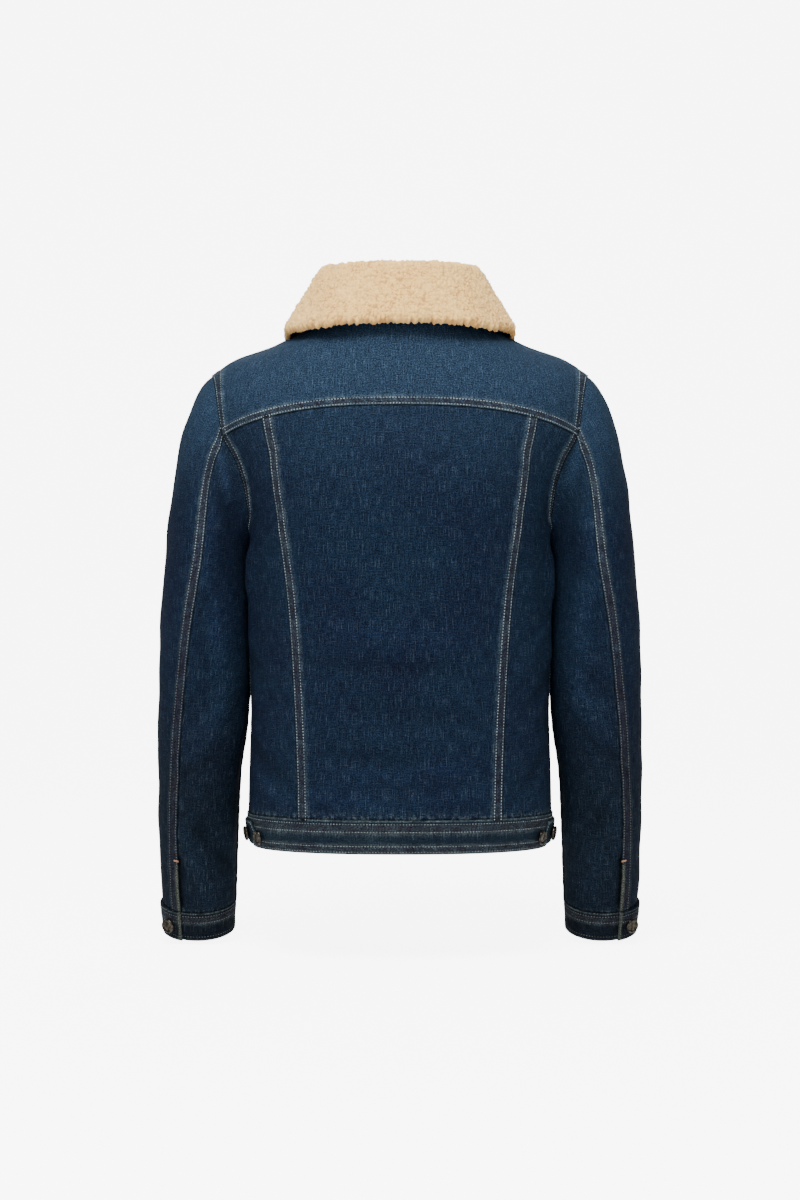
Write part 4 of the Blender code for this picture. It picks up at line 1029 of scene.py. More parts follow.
# %% Wear and shade marks, and lines for the thread
def wear_and_shade_marks(panel, grid, crest, folds, edge_wear, seed):
    """The numbers of MARKS for every point: the distance from the nearest fold, from the nearest seam's
    first row and along that seam, from a lap beside the panel, which places a painted shadow, and how
    drawn in, raised or rubbed the cloth is; how raised sets the painted shade and light of the creases."""
    none_near = 1.0 + 0 * panel.across
    from_edge = {side: panel.away[side] + past_seam(panel.kinds[side]) for side in SIDES}
    worn_edge = np.zeros(panel.across.shape)
    for side, (reach, up_to) in edge_wear.items():
        beside, below = smooth((from_edge[side] - reach) / 0.0012), smooth((panel.up - up_to) / 0.004)
        worn_edge += (1 - beside) * (1 - below)
    covered = [side for side in SIDES if panel.kinds[side] == "under"]
    free = [side for side in SIDES if panel.kinds[side] != "under"]
    seams = [side for side in free if side in panel.rows] or ["left"]
    first_row = []
    for side in seams:
        rows, scaled = panel.rows.get(side, ()), none_near
        if len(rows) > 1:
            scaled = (panel.away[side] - rows[0]) * ROW_SPACING / (rows[1] - rows[0])
        first_row.append(scaled)
    first_row, runs = np.stack(first_row), np.stack([panel.run[side] for side in seams])
    along = np.take_along_axis(runs, first_row.argmin(0)[None], 0)[0]
    soft_folds = [fold for fold in folds if abs(fold.depth) < 0.004]
    return {
        "from_fold": np.minimum.reduce([from_edge[side] for side in free] or [none_near]),
        "from_row": first_row.min(0),
        "along_fold": along + seed * 0.137,
        "beside_lap": np.minimum.reduce([panel.away[side] for side in covered] or [none_near]),
        "crest": np.clip(crest, 0, 0.7),
        "worn_edge": worn_edge,
        # Raised cloth gets painted light, a trough painted shade
        "swell": np.clip(lift_of_folds(grid, soft_folds) / 0.0024, -1, 1),
    }


def keep_thread_lines(panel, outer, reel):
    """The points and normals of the outer face along every row of stitches, kept for the reel of its
    thread."""
    sheet = np.concatenate([outer, normals_of(outer)], -1)
    seen_from = {"left": sheet, "right": sheet[:, ::-1]}
    seen_from.update({"bottom": turned(sheet), "top": turned(sheet[::-1])})
    for side, distances in panel.rows.items():
        length = lengths(seen_from[side][..., :3])
        for row in distances:
            wished = np.full((len(length), 1), row + past_seam(panel.kinds[side]))
            thread_lines[reel].append(at_distances(seen_from[side], length, wished)[:, 0])


thread_lines = {"body": [], "sleeves": [], "bands": [], "cuffs": []}
print("reels of thread:", *thread_lines)

# %% The sewing function
made, measured = {}, {}  # every piece by its name, and its width, length and area


def wall_mesh(name, outer, inner, materials, marks, inside, uv=None):
    """A closed wall between two grids. marks are the outer face's numbers and inside the ones that the
    inner face has all over; a second material is the inner face's."""
    faces, kind = wall_faces(*outer.shape[:2])
    points = np.concatenate([outer.reshape(-1, 3), inner.reshape(-1, 3)])
    both = {key: np.append(values, np.full(values.shape, inside[key])) for key, values in marks.items()}
    if uv is not None:
        uv = np.tile(uv.reshape(-1, 2), (2, 1))
    made[name] = put_mesh(name, points, faces, materials, uv, both, kind if len(materials) > 1 else None)


def note_size(name, across, up, surface):
    """Keeps a piece's width, length and area in metres."""
    measured[name] = (float(across[:, -1].max()), float(up[-1].max()), area_of(surface))


def print_sizes(word):
    """The sizes of all pieces with the word in their names."""
    print({name: [round(value, 3) for value in size] for name, size in measured.items() if word in name})


def sewn(
    name,
    dense,
    edges,
    reel,
    seed,
    rows=None,
    folds=(),
    swell=0.0005,
    base=0.0,
    wall=DENIM,
    lap=DENIM,
    gather=None,
    cloth=denim,
    edge_wear=None,
    ledge=0.0,
):
    """A closed, sewn panel. edges names each side's kind: lap reaches over its neighbour, fold is a
    finished edge, and under, which is the rest, lies below the next panel. rows gives stitch rows by
    side. base is how far the panel stands out, and ledge how far the seam inside thickens the top edge
    inwards."""
    kinds = {side: edges.get(side, "under") for side in SIDES}
    rows = rows or {side: FELLED_ROWS for side, kind in kinds.items() if kind != "under"}
    panel = cut_panel(dense, kinds, rows)
    grid = creased(panel, folds, swell, seed)
    normal = normals_of(grid)
    out, low, swollen, groove, crest = relief(panel, lap, wall - base, gather or {}, seed)
    thicker = ledge * np.exp(-((np.clip(panel.away["top"], 0, 1) / 0.0022) ** 2))
    outer = grid + normal * (base + (out + swollen - groove))[..., None]
    inner = grid + normal * (base - wall + low + swollen - thicker)[..., None]
    marks = wear_and_shade_marks(panel, grid, crest, folds, edge_wear or {}, seed)
    across, up = panel.across, panel.up
    uv = np.stack([across - across[:, -1:] / 2 + seed * 0.31, up + seed * 0.17], -1)
    name = "cloth_" + name
    wall_mesh(name, outer, inner, [cloth, denim_inside], marks, MARKS, uv)
    note_size(name, across, up, outer)
    keep_thread_lines(panel, outer, reel)


print("a panel's sides:", *SIDES)

# %% [markdown]
# ## Yoke and back
# The yoke is cut across the shoulder blades and laps over everything below it. The centre back laps over
# both side backs along the slanting seams. Dense grids come straight from the body's surface, about a
# point a millimetre, and mirrored ones make the wearer's right half, with folds of their own.

# %% Make the yoke and the back
def flipped(grid):
    """The mirror image on the wearer's right, with its columns turned round so that it still faces
    out."""
    return (grid * [-1, 1, 1])[:, ::-1]


def back_grid(surface, c_from, c_to, columns, rows):
    """A dense grid of the back's surface between two column places."""
    return surface(*spread((0, 1, rows), (c_from, c_to, columns)), BACK)


BOTH_SIDES = {"left": "lap", "right": "lap"}
yoke_rows = {"bottom": YOKE_ROWS, "top": YOKE_ROWS, "left": FELLED_ROWS, "right": FELLED_ROWS}
yoke_edges = {side: "lap" for side in SIDES}
sewn("yoke", back_grid(upper_body, 2, -2, 480, 190), yoke_edges, "body", 1, yoke_rows, BACK_FOLDS)
LOWER_BACK = {"cloth": denim_back, "folds": BACK_FOLDS, "gather": {"bottom": BAND_GATHER}}
centre, centre_rows = back_grid(lower_body, 1, -1, 320, 480), {"left": CENTRE_ROWS, "right": CENTRE_ROWS}
sewn("back_centre", centre, BOTH_SIDES, "body", 2, centre_rows, **LOWER_BACK)
for name, c_from, lapped, seed in (("back_side_left", 2, "left", 3), ("back_side_right", -1, "right", 4)):
    side_back = back_grid(lower_body, c_from, c_from - 1, 110, 480)
    sewn(name, side_back, {lapped: "lap"}, "body", seed, **LOWER_BACK)
print_sizes("")

# %% [markdown]
# ## Fronts, placket and sleeves
# Each front is one piece from the hem band to the shoulder, with the armhole cut into its side. Beside
# the side seam its edge is drawn back by 3 mm, so that the side back can lap over it. The placket is a
# folded strip on the left front, and its underlap a plain strip that the other front carries. A sleeve is
# two pieces: the upper one goes round the outside and the front and laps over the under sleeve along both
# seams.

# %% Make the fronts
def mirror_folds(folds, shift=0.0, strength=1.0):
    """The same folds on the other side, a little higher or lower and softer or sharper."""
    flip, move = np.array([-1, 1, 1]), np.array([0, 0, shift])
    turned_over = [(np.array(f.start) * flip + move, np.array(f.end) * flip + move, f) for f in folds]
    return tuple(Fold(start, end, f.width, f.depth * strength) for start, end, f in turned_over)


def front_grid():
    """Lower and upper front, one above the other, with the edge drawn back below the armhole."""
    row, c = spread((0, 1, 430), (0, 1, 230))
    pull = 0.012 * (1 - smooth((row - UNDERARM_ROW + 0.03) / 0.05))
    lower = lower_body(row, c * (1 - pull), FRONT)
    return np.concatenate([lower, upper_body(*spread((0, 1, 190), (0, 1, 230)), FRONT)[1:]])


front, front_gather = front_grid(), {"bottom": BAND_GATHER}
sewn("front_left", front, {"right": "lap"}, "body", 5, folds=FRONT_FOLDS, gather=front_gather)
right_folds = mirror_folds(FRONT_FOLDS, 0.012, 0.8)
sewn("front_right", flipped(front), {"left": "lap"}, "body", 6, folds=right_folds, gather=front_gather)
print_sizes("front")


# %% Make the placket
HEM_POINTS = 39  # of the placket's line, below the panels


def placket_line(low, high):
    """The line up the left front's edge, from the hem to the neckline, where it eases down by 1.5 mm."""
    rows = np.linspace(0, 1, 240)
    edge = [lower_body(rows, 0 * rows, FRONT), upper_body(rows, 0 * rows, FRONT)[1:]]
    z = np.linspace(low, high, HEM_POINTS + 1)[:-1]
    hem = section_point(angle_at(PLACKET_HALF + 0 * z, z), z, FRONT)
    line = np.concatenate([hem] + edge)
    line[:, 2] -= 0.0015 * smooth((line[:, 2] + 0.06) / 0.02)
    return line


def placket_form(reach, line, bulge):
    """The line spread sideways: y bows forwards by bulge * (1 - (x / reach)^2)."""
    x = np.linspace(-reach, reach, 41)
    y = line[:, None, 1] - bulge * (1 - (x / reach) ** 2)
    return np.stack(np.broadcast_arrays(x, y, line[:, None, 2]), -1)


line = placket_line(Z_HEM + SEAM, Z_BAND)
placket = placket_form(PLACKET_HALF + 0.003, line, 0.0012)
underlap = placket_form(PLACKET_HALF - SEAM / 2, line[HEM_POINTS:], 0.0004)
ALL_FOLDED = {side: "fold" for side in SIDES}
PLACKET_SEWING = {
    "rows": {"left": (0.0025, 0.0090), "right": (0.0025, 0.0090)},
    "base": PLACKET_CLEAR + BAND,
    "wall": BAND,
    "swell": 0.0002,
}
sewn("placket", placket, ALL_FOLDED, "bands", 7, **PLACKET_SEWING)
sewn("placket_underlap", underlap, {}, "bands", 8, swell=0.0)
print_sizes("placket")


# %% Make the sleeves
SLIT_TOP, SLIT_END = 0.892, 0.984  # where the slit above the cuff runs, as shares of the sleeve's length


def back_seam(way):
    """The back seam's place round the sleeve: at the head it keeps 7 mm closer to the armhole."""
    return Q_SEAM - 0.017 * smooth(way / 0.05) * (1 - smooth((way - 0.08) / 0.24))


def sleeve_grid(from_seam, q_far, columns):
    """The grid between the back seam and the front seam at q_far; from_seam tells which of them is
    first."""
    way, t = spread((1, 0, 640), (0, 1, columns))
    t = t if from_seam else 1 - t
    return sleeve_point(back_seam(way) + (q_far - back_seam(way)) * t, way)


SLEEVE_SEWING = {
    "cloth": denim_sleeve,
    "gather": {"bottom": (0.0003, 0.008), "top": (0.0001, 0.008)},
    "swell": 0.0007,
}
UPPER_WEAR = (0.0036, 0.062)  # beside the slit it is rubbed this far in and this high above the cuff
upper, under = sleeve_grid(False, 1, 300), sleeve_grid(True, 0, 140)
slit_ends = (sleeve_point(np.array(Q_SEAM - 0.012), np.array(way)) for way in (SLIT_TOP, SLIT_END))
slit = Fold(*slit_ends, width=0.0042, depth=-0.0034)
left_folds = SLEEVE_FOLDS + SMALL_SLEEVE_FOLDS
right_folds = mirror_folds(SLEEVE_FOLDS) + mirror_folds(SMALL_SLEEVE_FOLDS, 0.018, 0.9)
for name, grid, folds, worn, seed in (
    ("sleeve_upper_left", upper, left_folds, "right", 9),
    ("sleeve_upper_right", flipped(upper), right_folds, "left", 10),
):
    rubbed = {worn: UPPER_WEAR}
    sewn(name, grid, BOTH_SIDES, "sleeves", seed, folds=folds, edge_wear=rubbed, **SLEEVE_SEWING)
for name, grid, folds, seed in (
    ("sleeve_under_left", under, left_folds + (slit,), 11),
    ("sleeve_under_right", flipped(under), right_folds + mirror_folds([slit]), 12),
):
    sewn(name, grid, {}, "sleeves", seed, folds=folds, **SLEEVE_SEWING)
print_sizes("sleeve")

# %% [markdown]
# ## Bands
# The hem band is a folded strip in three lengths, with a short buttoned tab over each side seam that can
# draw it in. The cuffs are folded strips as well, closed at the back of the wrist, where one end laps
# over the other and carries the button. All follow the sections of the form at their own heights.

# %% Make the hem band
def band_loop(z, angles):
    """The body's section at height z. Angles run from 0 at the centre back through 90 degrees at the
    wearer's left to 180 at the centre front."""
    angles = (angles + math.pi) % FULL_TURN - math.pi
    bent = np.maximum(np.minimum(np.abs(angles), math.pi - np.abs(angles)), 1e-6)
    at_back = (np.abs(angles) <= math.pi / 2)[..., None]
    points = np.where(at_back, section_point(bent, z, BACK), section_point(bent, z, FRONT))
    points[..., 0] *= np.sign(angles + 1e-12)
    return points


def band_grid(start, stop, columns):
    """The hem band's surface between two angles."""
    return band_loop(*spread((Z_HEM, Z_BAND - SEAM, 40), (start, stop, columns)))


SIDE_SEAM, HALF_GAP = math.radians(90), SEAM / 2 / BODY[0].half_width
FRONT_END = math.pi - float(angle_at(np.array(PLACKET_HALF), np.array(Z_HEM)))
BAND_EDGES = {"top": "lap", "bottom": "fold"}
BAND_SEWING = {
    "cloth": denim_band,
    "base": BAND_PROUD,
    "wall": BAND,
    "swell": 0.0003,
    "lap": 0.0004,
    "rows": {"top": (0.0020, 0.0108), "bottom": (0.0024, 0.0090)},
}
for name, start, stop, columns, seed in (
    ("hem_band_back", SIDE_SEAM - HALF_GAP, HALF_GAP - SIDE_SEAM, 430, 13),
    ("hem_band_front_left", FRONT_END - HALF_GAP, SIDE_SEAM + HALF_GAP, 230, 14),
    ("hem_band_front_right", -SIDE_SEAM - HALF_GAP, FRONT_END + HALF_GAP - FULL_TURN, 260, 15),
):
    sewn(name, band_grid(start, stop, columns), BAND_EDGES, "bands", seed, **BAND_SEWING)
print_sizes("band")

# %% Make the tabs
TAB_START, TAB_END, TAB_POINT = math.radians(110), math.radians(69.5), math.radians(2.4)
TAB_LOW, TAB_HIGH = -0.6165, -0.5905
TAB_CLEAR = 0.0003


def tab_form():
    """A short strip round the side whose end comes to a blunt point: the middle row reaches furthest."""
    s, u = spread((-1, 1, 30), (0, 1, 90))
    z = TAB_LOW + (TAB_HIGH - TAB_LOW) * (s + 1) / 2
    point = TAB_POINT * (1 - np.sqrt(s * s + 0.02))
    return band_loop(z, TAB_START + (TAB_END - point - TAB_START) * u)


TAB_SEWING = {
    "cloth": denim_band,
    "base": BAND_PROUD + SEAM + BAND + TAB_CLEAR,
    "wall": BAND - TAB_CLEAR,
    "swell": 0.0001,
    "rows": {side: (0.0022,) for side in SIDES},
}
tab = tab_form()
sewn("tab_left", tab, ALL_FOLDED, "bands", 16, **TAB_SEWING)
sewn("tab_right", flipped(tab), ALL_FOLDED, "bands", 17, **TAB_SEWING)
print_sizes("tab")

# %% Make the cuffs
CUFF_END, HIDDEN_END, EASE = 66, 30, 52  # degrees round the wrist


def cuff_form():
    """The cuff from its hidden end, round the inside, the front and the outside, to its lapped end at the
    back, which stands a band's thickness further out and eases down over 52 degrees."""
    z, turn = spread((Z_WRIST, Z_CUFF - SEAM, 40), (HIDDEN_END - 360, CUFF_END, 400))
    turn = np.radians(turn)
    grid = on_ring(turn, z)
    lift = (BAND + SEAM) * (1 - smooth((math.radians(HIDDEN_END) - turn) / math.radians(EASE)))
    return grid + normals_of(grid) * lift[..., None]


cuff = cuff_form()
CUFF_ROWS = {"top": (0.0022, 0.0100), "bottom": (0.0050,)}
CUFF_WEAR = (0.0028, 1.0)  # rubbed all the way up its end
LEDGE = 0.0045  # the seam inside the cuff's top edge, which also closes the gap to the sleeve
for name, grid, end, seed in (("cuff_left", cuff, "right", 18), ("cuff_right", flipped(cuff), "left", 19)):
    cuff_sewing = {**BAND_SEWING, "cloth": denim_cuff, "edge_wear": {end: CUFF_WEAR}, "ledge": LEDGE}
    cuff_sewing["rows"] = {**CUFF_ROWS, end: (0.0025,)}
    sewn(name, grid, {**BAND_EDGES, end: "fold"}, "cuffs", seed, **cuff_sewing)
print_sizes("cuff")

# %% [markdown]
# ## Collar
# The shearling is sheepskin with its wool on. It stands up from the neckline, rolls over and falls on the
# yoke. One path carries both layers: stations up the stand, over the roll and down the fall, joined by
# Catmull-Rom curves. The wool is the same grid moved out by the pile's height, with tufts: every point is
# measured to the nearest of a cloud of scattered tuft centres, and rises as a dome around each. Hair
# would render slowly and could not be exported, so the tufts are real bumps and the finest curls are left
# to the material.

# %% The neckline
CollarLine = namedtuple("CollarLine", "s stand fall_x fall_y fall_z")  # s: 0 at the nape, 1 in front
COLLAR = (
    CollarLine(0.00, 0.0300, 0.0000, 0.1195, -0.0270),
    CollarLine(0.20, 0.0325, 0.0610, 0.1095, -0.0275),
    CollarLine(0.38, 0.0372, 0.1055, 0.0730, -0.0300),
    CollarLine(0.52, 0.0350, 0.1275, 0.0250, -0.0295),
    CollarLine(0.70, 0.0280, 0.1235, -0.0680, -0.0420),
    CollarLine(0.86, 0.0230, 0.1010, -0.1190, -0.0850),
    CollarLine(1.00, 0.0190, 0.0660, -0.1390, -0.1220),
)


def neckline(count):
    """Points round the neckline from the wearer's right front end to the left one, each with its place s,
    its sign of x and the horizontal direction that leads out of the neck there."""
    t = np.linspace(0, 1, 90)
    top = np.ones(len(t))
    edge = [upper_body(top, NECK_C_BACK * t, BACK), upper_body(top, NECK_C_FRONT * (1 - t), FRONT)[1:]]
    edge = np.concatenate(edge)
    length = lengths(edge[None])[0]
    way = np.linspace(-1, 1, count)
    s, sign = np.abs(way), np.sign(way + 1e-9)
    foot = on_line(s * length[-1], length, edge)
    foot[:, 0] *= sign
    depth = np.where(foot[:, 1] > 0, NECK_BACK, NECK_FRONT)
    out = unit(np.stack([foot[:, 0] / NECK_HALF_WIDTH**2, foot[:, 1] / depth**2, 0 * depth], -1))
    return foot, s, sign, out


print("round the neck it is", round(float(lengths(neckline(200)[0][None])[0, -1]), 3), "m")

# %% The collar's path
ROLL_RADIUS = 0.0060
COLLAR_PITCH = 0.00135  # between the grid's lines, fine enough for the tufts
FREE_ENDS = np.array([0.0, 0.0014])


def through_stations(stations, steps):
    """Catmull-Rom curve through the stations, mirrored past each end. Between b and c, with a before and
    d after, it is half of 2b + (c - a) t + (2a - 5b + 4c - d) t^2 + (3b - a - 3c + d) t^3."""
    ends = [2 * stations[0] - stations[1]], [2 * stations[-1] - stations[-2]]
    points = np.concatenate([ends[0], stations, ends[1]])
    at = np.arange((len(stations) - 1) * steps) / steps
    i, t = at.astype(int), (at % 1)[:, None, None]
    a, b, c, d = (points[i + k] for k in range(4))
    fine = 0.5 * (2 * b + (c - a) * t + (2 * a - 5 * b + 4 * c - d) * t**2 + (3 * b - a - 3 * c + d) * t**3)
    return np.concatenate([fine, stations[-1:]])


def collar_path(count):
    """Foot, middle and top of the stand, crown of the roll, its outer side, middle and end of the fall:
    seven stations at every place round the neckline, joined by a curve and resampled by length."""
    foot, s, sign, out = neckline(count)
    up = np.array([0.0, 0.0, 1.0])
    foot = foot + up * 2 * SEAM
    stand = column(COLLAR, "s", "stand", s)[:, None]
    fall = np.stack([column(COLLAR, "s", name, s) for name in ("fall_x", "fall_y", "fall_z")], -1)
    fall[:, 0] *= sign
    inner = foot + up * stand - out * 0.002
    crown = inner + out * ROLL_RADIUS + up * ROLL_RADIUS
    outer = inner + out * 2.0 * ROLL_RADIUS - up * 0.001
    middles = (foot + inner) / 2 - out * 0.0005, (outer + fall) / 2 + out * 0.001
    stations = np.stack([foot, middles[0], inner, crown, outer, middles[1], fall])
    across_first = turned(through_stations(stations, 16))
    up_and_over = turned(respaced(across_first, FREE_ENDS, FREE_ENDS, COLLAR_PITCH))
    return respaced(up_and_over, FREE_ENDS, FREE_ENDS, COLLAR_PITCH)


collar = collar_path(420)
across, up = lengths(collar), turned(lengths(turned(collar)))
print("the collar is", round(float(across[:, -1].max()), 3), "m along its longest line")

# %% Tufts and fringe
def tufts(points, size, seed):
    """Domes with creases between them: the distance to the second nearest of many scattered centres less
    the distance to the nearest is 0 on a crease. Space is cut into cubes of the given size with one
    centre in each, whose place in the cube comes from whole-number hashing."""
    cell = np.floor(points / size).astype(np.int64)
    nearest, second, tall = np.full(len(points), 9.0), np.full(len(points), 9.0), np.zeros(len(points))
    for x, y, z in np.ndindex(3, 3, 3):
        other = cell + np.array([x - 1, y - 1, z - 1])
        key = other @ np.array([73856093, 19349663, 83492791]) + seed * 2654435761
        spot = np.stack([((key ^ (key >> 13)) * m >> 7) % 1024 for m in (60493, 19990303, 1376312589)], -1)
        away = np.linalg.norm(points / size - other - 0.1 - 0.8 * spot / 1024, axis=-1)
        tall = np.where(away < nearest, 0.55 + 0.45 * (spot[:, 0] % 97) / 97, tall)
        second = np.minimum(second, np.maximum(nearest, away))
        nearest = np.minimum(nearest, away)
    return tall * np.sqrt(smooth((second - nearest) / 0.55))


COARSE, FINE = 0.0120, 0.0038  # sizes of the clumps of wool and of the curls on them
CLUMP_HEIGHT, CURL_HEIGHT, BURIED = 0.0009, 0.0031, 0.0022
FRINGE_ROWS, FRINGE, SHOULDER_FRINGE = 8, 0.0046, 0.0075  # the ragged edge, longest over the shoulders


def add_fringe(wool, skin, grid):
    """Lets locks of wool hang past the lower edge: the last rows of the grid go on downwards, the skin
    less."""
    place = np.abs(np.linspace(-1, 1, grid.shape[1]))
    at_shoulder = np.exp(-(((place - 0.55) / 0.075) ** 2))
    down = unit(unit(grid[-1] - grid[-3]) + at_shoulder[:, None] * [0, 0, -1.0])
    locks = tufts(grid[-1], 0.0052, 3) + 0.6 * tufts(grid[-1], 0.0030, 4)
    hang = FRINGE * (locks - 0.35) + SHOULDER_FRINGE * at_shoulder
    wool[-FRINGE_ROWS:] += down * (hang * np.linspace(0.05, 1, FRINGE_ROWS)[:, None] ** 1.3)[..., None]
    skin[-2:] += down * (hang * np.array([[0.4], [0.9]]))[..., None]


print("curls are", FINE * 1000, "mm apart and clumps", COARSE * 1000, "mm")

# %% Make the collar
def make_wool(grid, away):
    """The pile stands on the path's outer side: its height is rounded off towards the edges like a
    quarter circle, and domes of two sizes rise from it."""
    flat, shape = grid.reshape(-1, 3), grid.shape[:2]
    round_off = np.sqrt(np.clip(1 - (1 - np.clip(away / 0.009, 0, 1)) ** 2, 0, 1))
    curls, clumps = tufts(flat, FINE, 1).reshape(shape), tufts(flat, COARSE, 2).reshape(shape)
    domes = (CURL_HEIGHT * curls + CLUMP_HEIGHT * clumps) * (0.6 + 0.4 * round_off)
    pile = PILE * (0.35 + 0.65 * round_off) - BURIED + domes
    normal = normals_of(grid)
    skin, wool = grid + normal * SEAM / 2, grid + normal * (SEAM / 2 + pile)[..., None]
    add_fringe(wool, skin, grid)
    # tuft sets the wool's painted shade: low in hollows and towards the rounded edges
    tuft = (0.75 * curls + 0.25 * clumps) * (0.35 + 0.65 * round_off)
    wall_mesh("collar_wool", wool, skin, [shearling], {"tuft": tuft}, {"tuft": 0.25})


def make_backing(grid):
    """The under collar lies on the path's inner side. Plain cloth needs fewer points: every second row
    and every third column, with the last row kept."""
    under = grid[::2, ::3] if grid.shape[0] % 2 else np.concatenate([grid[:-1:2, ::3], grid[-1:, ::3]])
    normal = normals_of(under)
    high, low = under - normal * SEAM / 2, under - normal * (SEAM / 2 + UNDER_COLLAR)
    marks = {key: np.full(under.shape[:2], value) for key, value in MARKS.items()}
    uv = np.stack([lengths(under), turned(lengths(turned(under)))], -1)
    wall_mesh("collar_backing", high, low, [denim], marks, MARKS, uv)


make_wool(collar, np.minimum.reduce([across, across[:, -1:] - across, up[-1:] - up]))
make_backing(collar)
for name in ("collar_wool", "collar_backing"):
    note_size(name, across, up, collar)
print("collar triangles:", 2 * len(made["collar_wool"].data.polygons))

# %% [markdown]
# ## Thread
# Each stitch is a little bead of thread that rises from one hole and dives into the next. A template of
# 14 points is turned and moved to every place at once with one array product. Two beads differ only in
# place. Four reels hold thread: pale on the body, pale and duller downwards on the sleeves, greyer on
# the bands and dull on the cuffs.

# %% A bead of thread
def evenly(line, pitch):
    """Places at an even pitch along a line of points and normals: centre, tangent and normal of each."""
    length = lengths(line[None, :, :3])[0]
    at = np.arange(pitch / 2, length[-1] - pitch / 2, pitch)
    before, here, after = (on_line(at + step, length, line) for step in (-0.0006, 0, 0.0006))
    return here[:, :3], unit(after[:, :3] - before[:, :3]), unit(here[:, 3:])


def bead():
    """Half-sunk almond, 1 high, with a half length and half width of 1: three rings of four corners
    between two tips."""
    ring = np.array([[0, 1, 0], [0, 0, 1], [0, -1, 0], [0, 0, -0.6]])
    rings = [ring * [1, w, w] + [x, 0, 0] for x, w in ((-0.6, 0.8), (0, 1), (0.6, 0.8))]
    points = np.concatenate([[[-1, 0, -0.5]], *rings, [[1, 0, -0.5]]])
    around = np.arange(4)
    after = (around + 1) % 4
    first = np.stack([0 * around, 1 + after, 1 + around], -1)
    last = np.stack([13 + 0 * around, 9 + around, 9 + after], -1)
    walls = [np.stack([k + around, k + after, k + 4 + after], -1) for k in (1, 5)]
    walls += [np.stack([k + around, k + 4 + after, k + 4 + around], -1) for k in (1, 5)]
    return points, np.concatenate([first, *walls, last])


print("a stitch has", len(bead()[1]), "triangles")

# %% Make the stitches
STITCH_PITCH, STITCH_SIZE = 0.0034, (0.00098, 0.00058, 0.00042)  # half length, half width and height
TACK_PITCH, TACK_SIZE = 0.00055, (0.00034, 0.0013, 0.0006)


def stitched(name, lines, material, pitch=STITCH_PITCH, size=STITCH_SIZE):
    """One mesh with a bead at every stitch of the lines."""
    spots = [evenly(line, pitch) for line in lines]
    centre, along, normal = (np.concatenate([spot[k] for spot in spots]) for k in range(3))
    template, faces = bead()
    frames = np.stack([along, np.cross(normal, along), normal], 1)
    points = centre[:, None] + np.einsum("pk,nkx->npx", template * size, frames)
    all_faces = (faces[None] + len(template) * np.arange(len(centre))[:, None, None]).reshape(-1, 3)
    return put_mesh(name, points.reshape(-1, 3), all_faces, [material])


reels = {"body": thread, "bands": thread_band, "sleeves": thread_sleeve, "cuffs": thread_dull}
threads = {key: stitched("stitches_" + key, lines, reels[key]) for key, lines in thread_lines.items()}


def bar_tack(side):
    """The line of the bar tack, across the slit's top end on the lap's face: side is 1 left and -1
    right."""
    q = np.linspace(Q_SEAM - 0.014, Q_SEAM + 0.010, 9)
    grid = sleeve_point(*np.meshgrid(q, [SLIT_TOP + 0.004, SLIT_TOP, SLIT_TOP - 0.004]))
    normal = -normals_of(grid)[1]
    line = np.concatenate([grid[1] + normal * (DENIM + 0.0003), normal], -1)
    return line * np.tile([side, 1, 1], 2)


for side, name in ((1, "bar_tack_left"), (-1, "bar_tack_right")):
    made[name] = stitched(name, [bar_tack(side)], thread_orange, TACK_PITCH, TACK_SIZE)
stitches = len(made["bar_tack_left"].data.vertices) // len(bead()[0])
print({group: len(piece.data.polygons) for group, piece in threads.items()}, "triangles of thread")
print("a bar tack has", stitches, "stitches")

# %% [markdown]
# ## Buttons
# Twelve shank buttons of dark bronze, all alike and bare: a dished face inside a raised rim, a rolled
# edge and a shank that goes into the cloth. A profile turned round its axis is the natural way to make
# one.

# %% Turn a button
BUTTON_THICK, SHANK_LENGTH = 0.0026, 0.0022
TOP = SHANK_LENGTH + BUTTON_THICK
PROFILE = np.array(
    [
        (0.0, TOP - 0.00045),
        (0.0016, TOP - 0.00050),
        (0.0036, TOP - 0.00085),
        (0.0050, TOP - 0.00100),
        (0.0057, TOP - 0.00080),
        (0.0062, TOP - 0.00020),
        (0.0069, TOP),
        (0.0077, TOP - 0.00010),
        (0.0083, TOP - 0.00060),
        (0.0085, TOP - 0.00130),
        (0.0083, SHANK_LENGTH + 0.0003),
        (0.0076, SHANK_LENGTH),
        (0.0040, SHANK_LENGTH + 0.0001),
        (0.0034, SHANK_LENGTH - 0.0003),
        (0.0032, 0.0),
        (0.0, 0.0),
    ]
)  # radius and height, from the middle of the face to the shank's end


def turned_form(profile, steps=32):
    """A profile of (radius, height) turned round the axis: rings between two poles."""
    angle = np.arange(steps) * FULL_TURN / steps
    radius, height = profile[1:-1, :1], profile[1:-1, 1:]
    body = np.stack(np.broadcast_arrays(radius * np.cos(angle), radius * np.sin(angle), height), -1)
    points = np.concatenate([[[0, 0, profile[0, 1]]], body.reshape(-1, 3), [[0, 0, profile[-1, 1]]]])
    k, after = np.arange(steps), (np.arange(steps) + 1) % steps
    last = 1 + (len(radius) - 1) * steps
    walls = []
    for low in range(1, last, steps):
        high = low + steps
        walls.append(np.stack([low + k, high + k, high + after], -1))
        walls.append(np.stack([low + k, high + after, low + after], -1))
    top = np.stack([0 * k, 1 + k, 1 + after], -1)
    bottom = np.stack([0 * k + len(points) - 1, last + after, last + k], -1)
    return points, np.concatenate([top, *walls, bottom])


BUTTON_POINTS, BUTTON_FACES = turned_form(PROFILE)
print("a button is", round(2 * PROFILE[:, 0].max() * 1000, 1), "mm across")

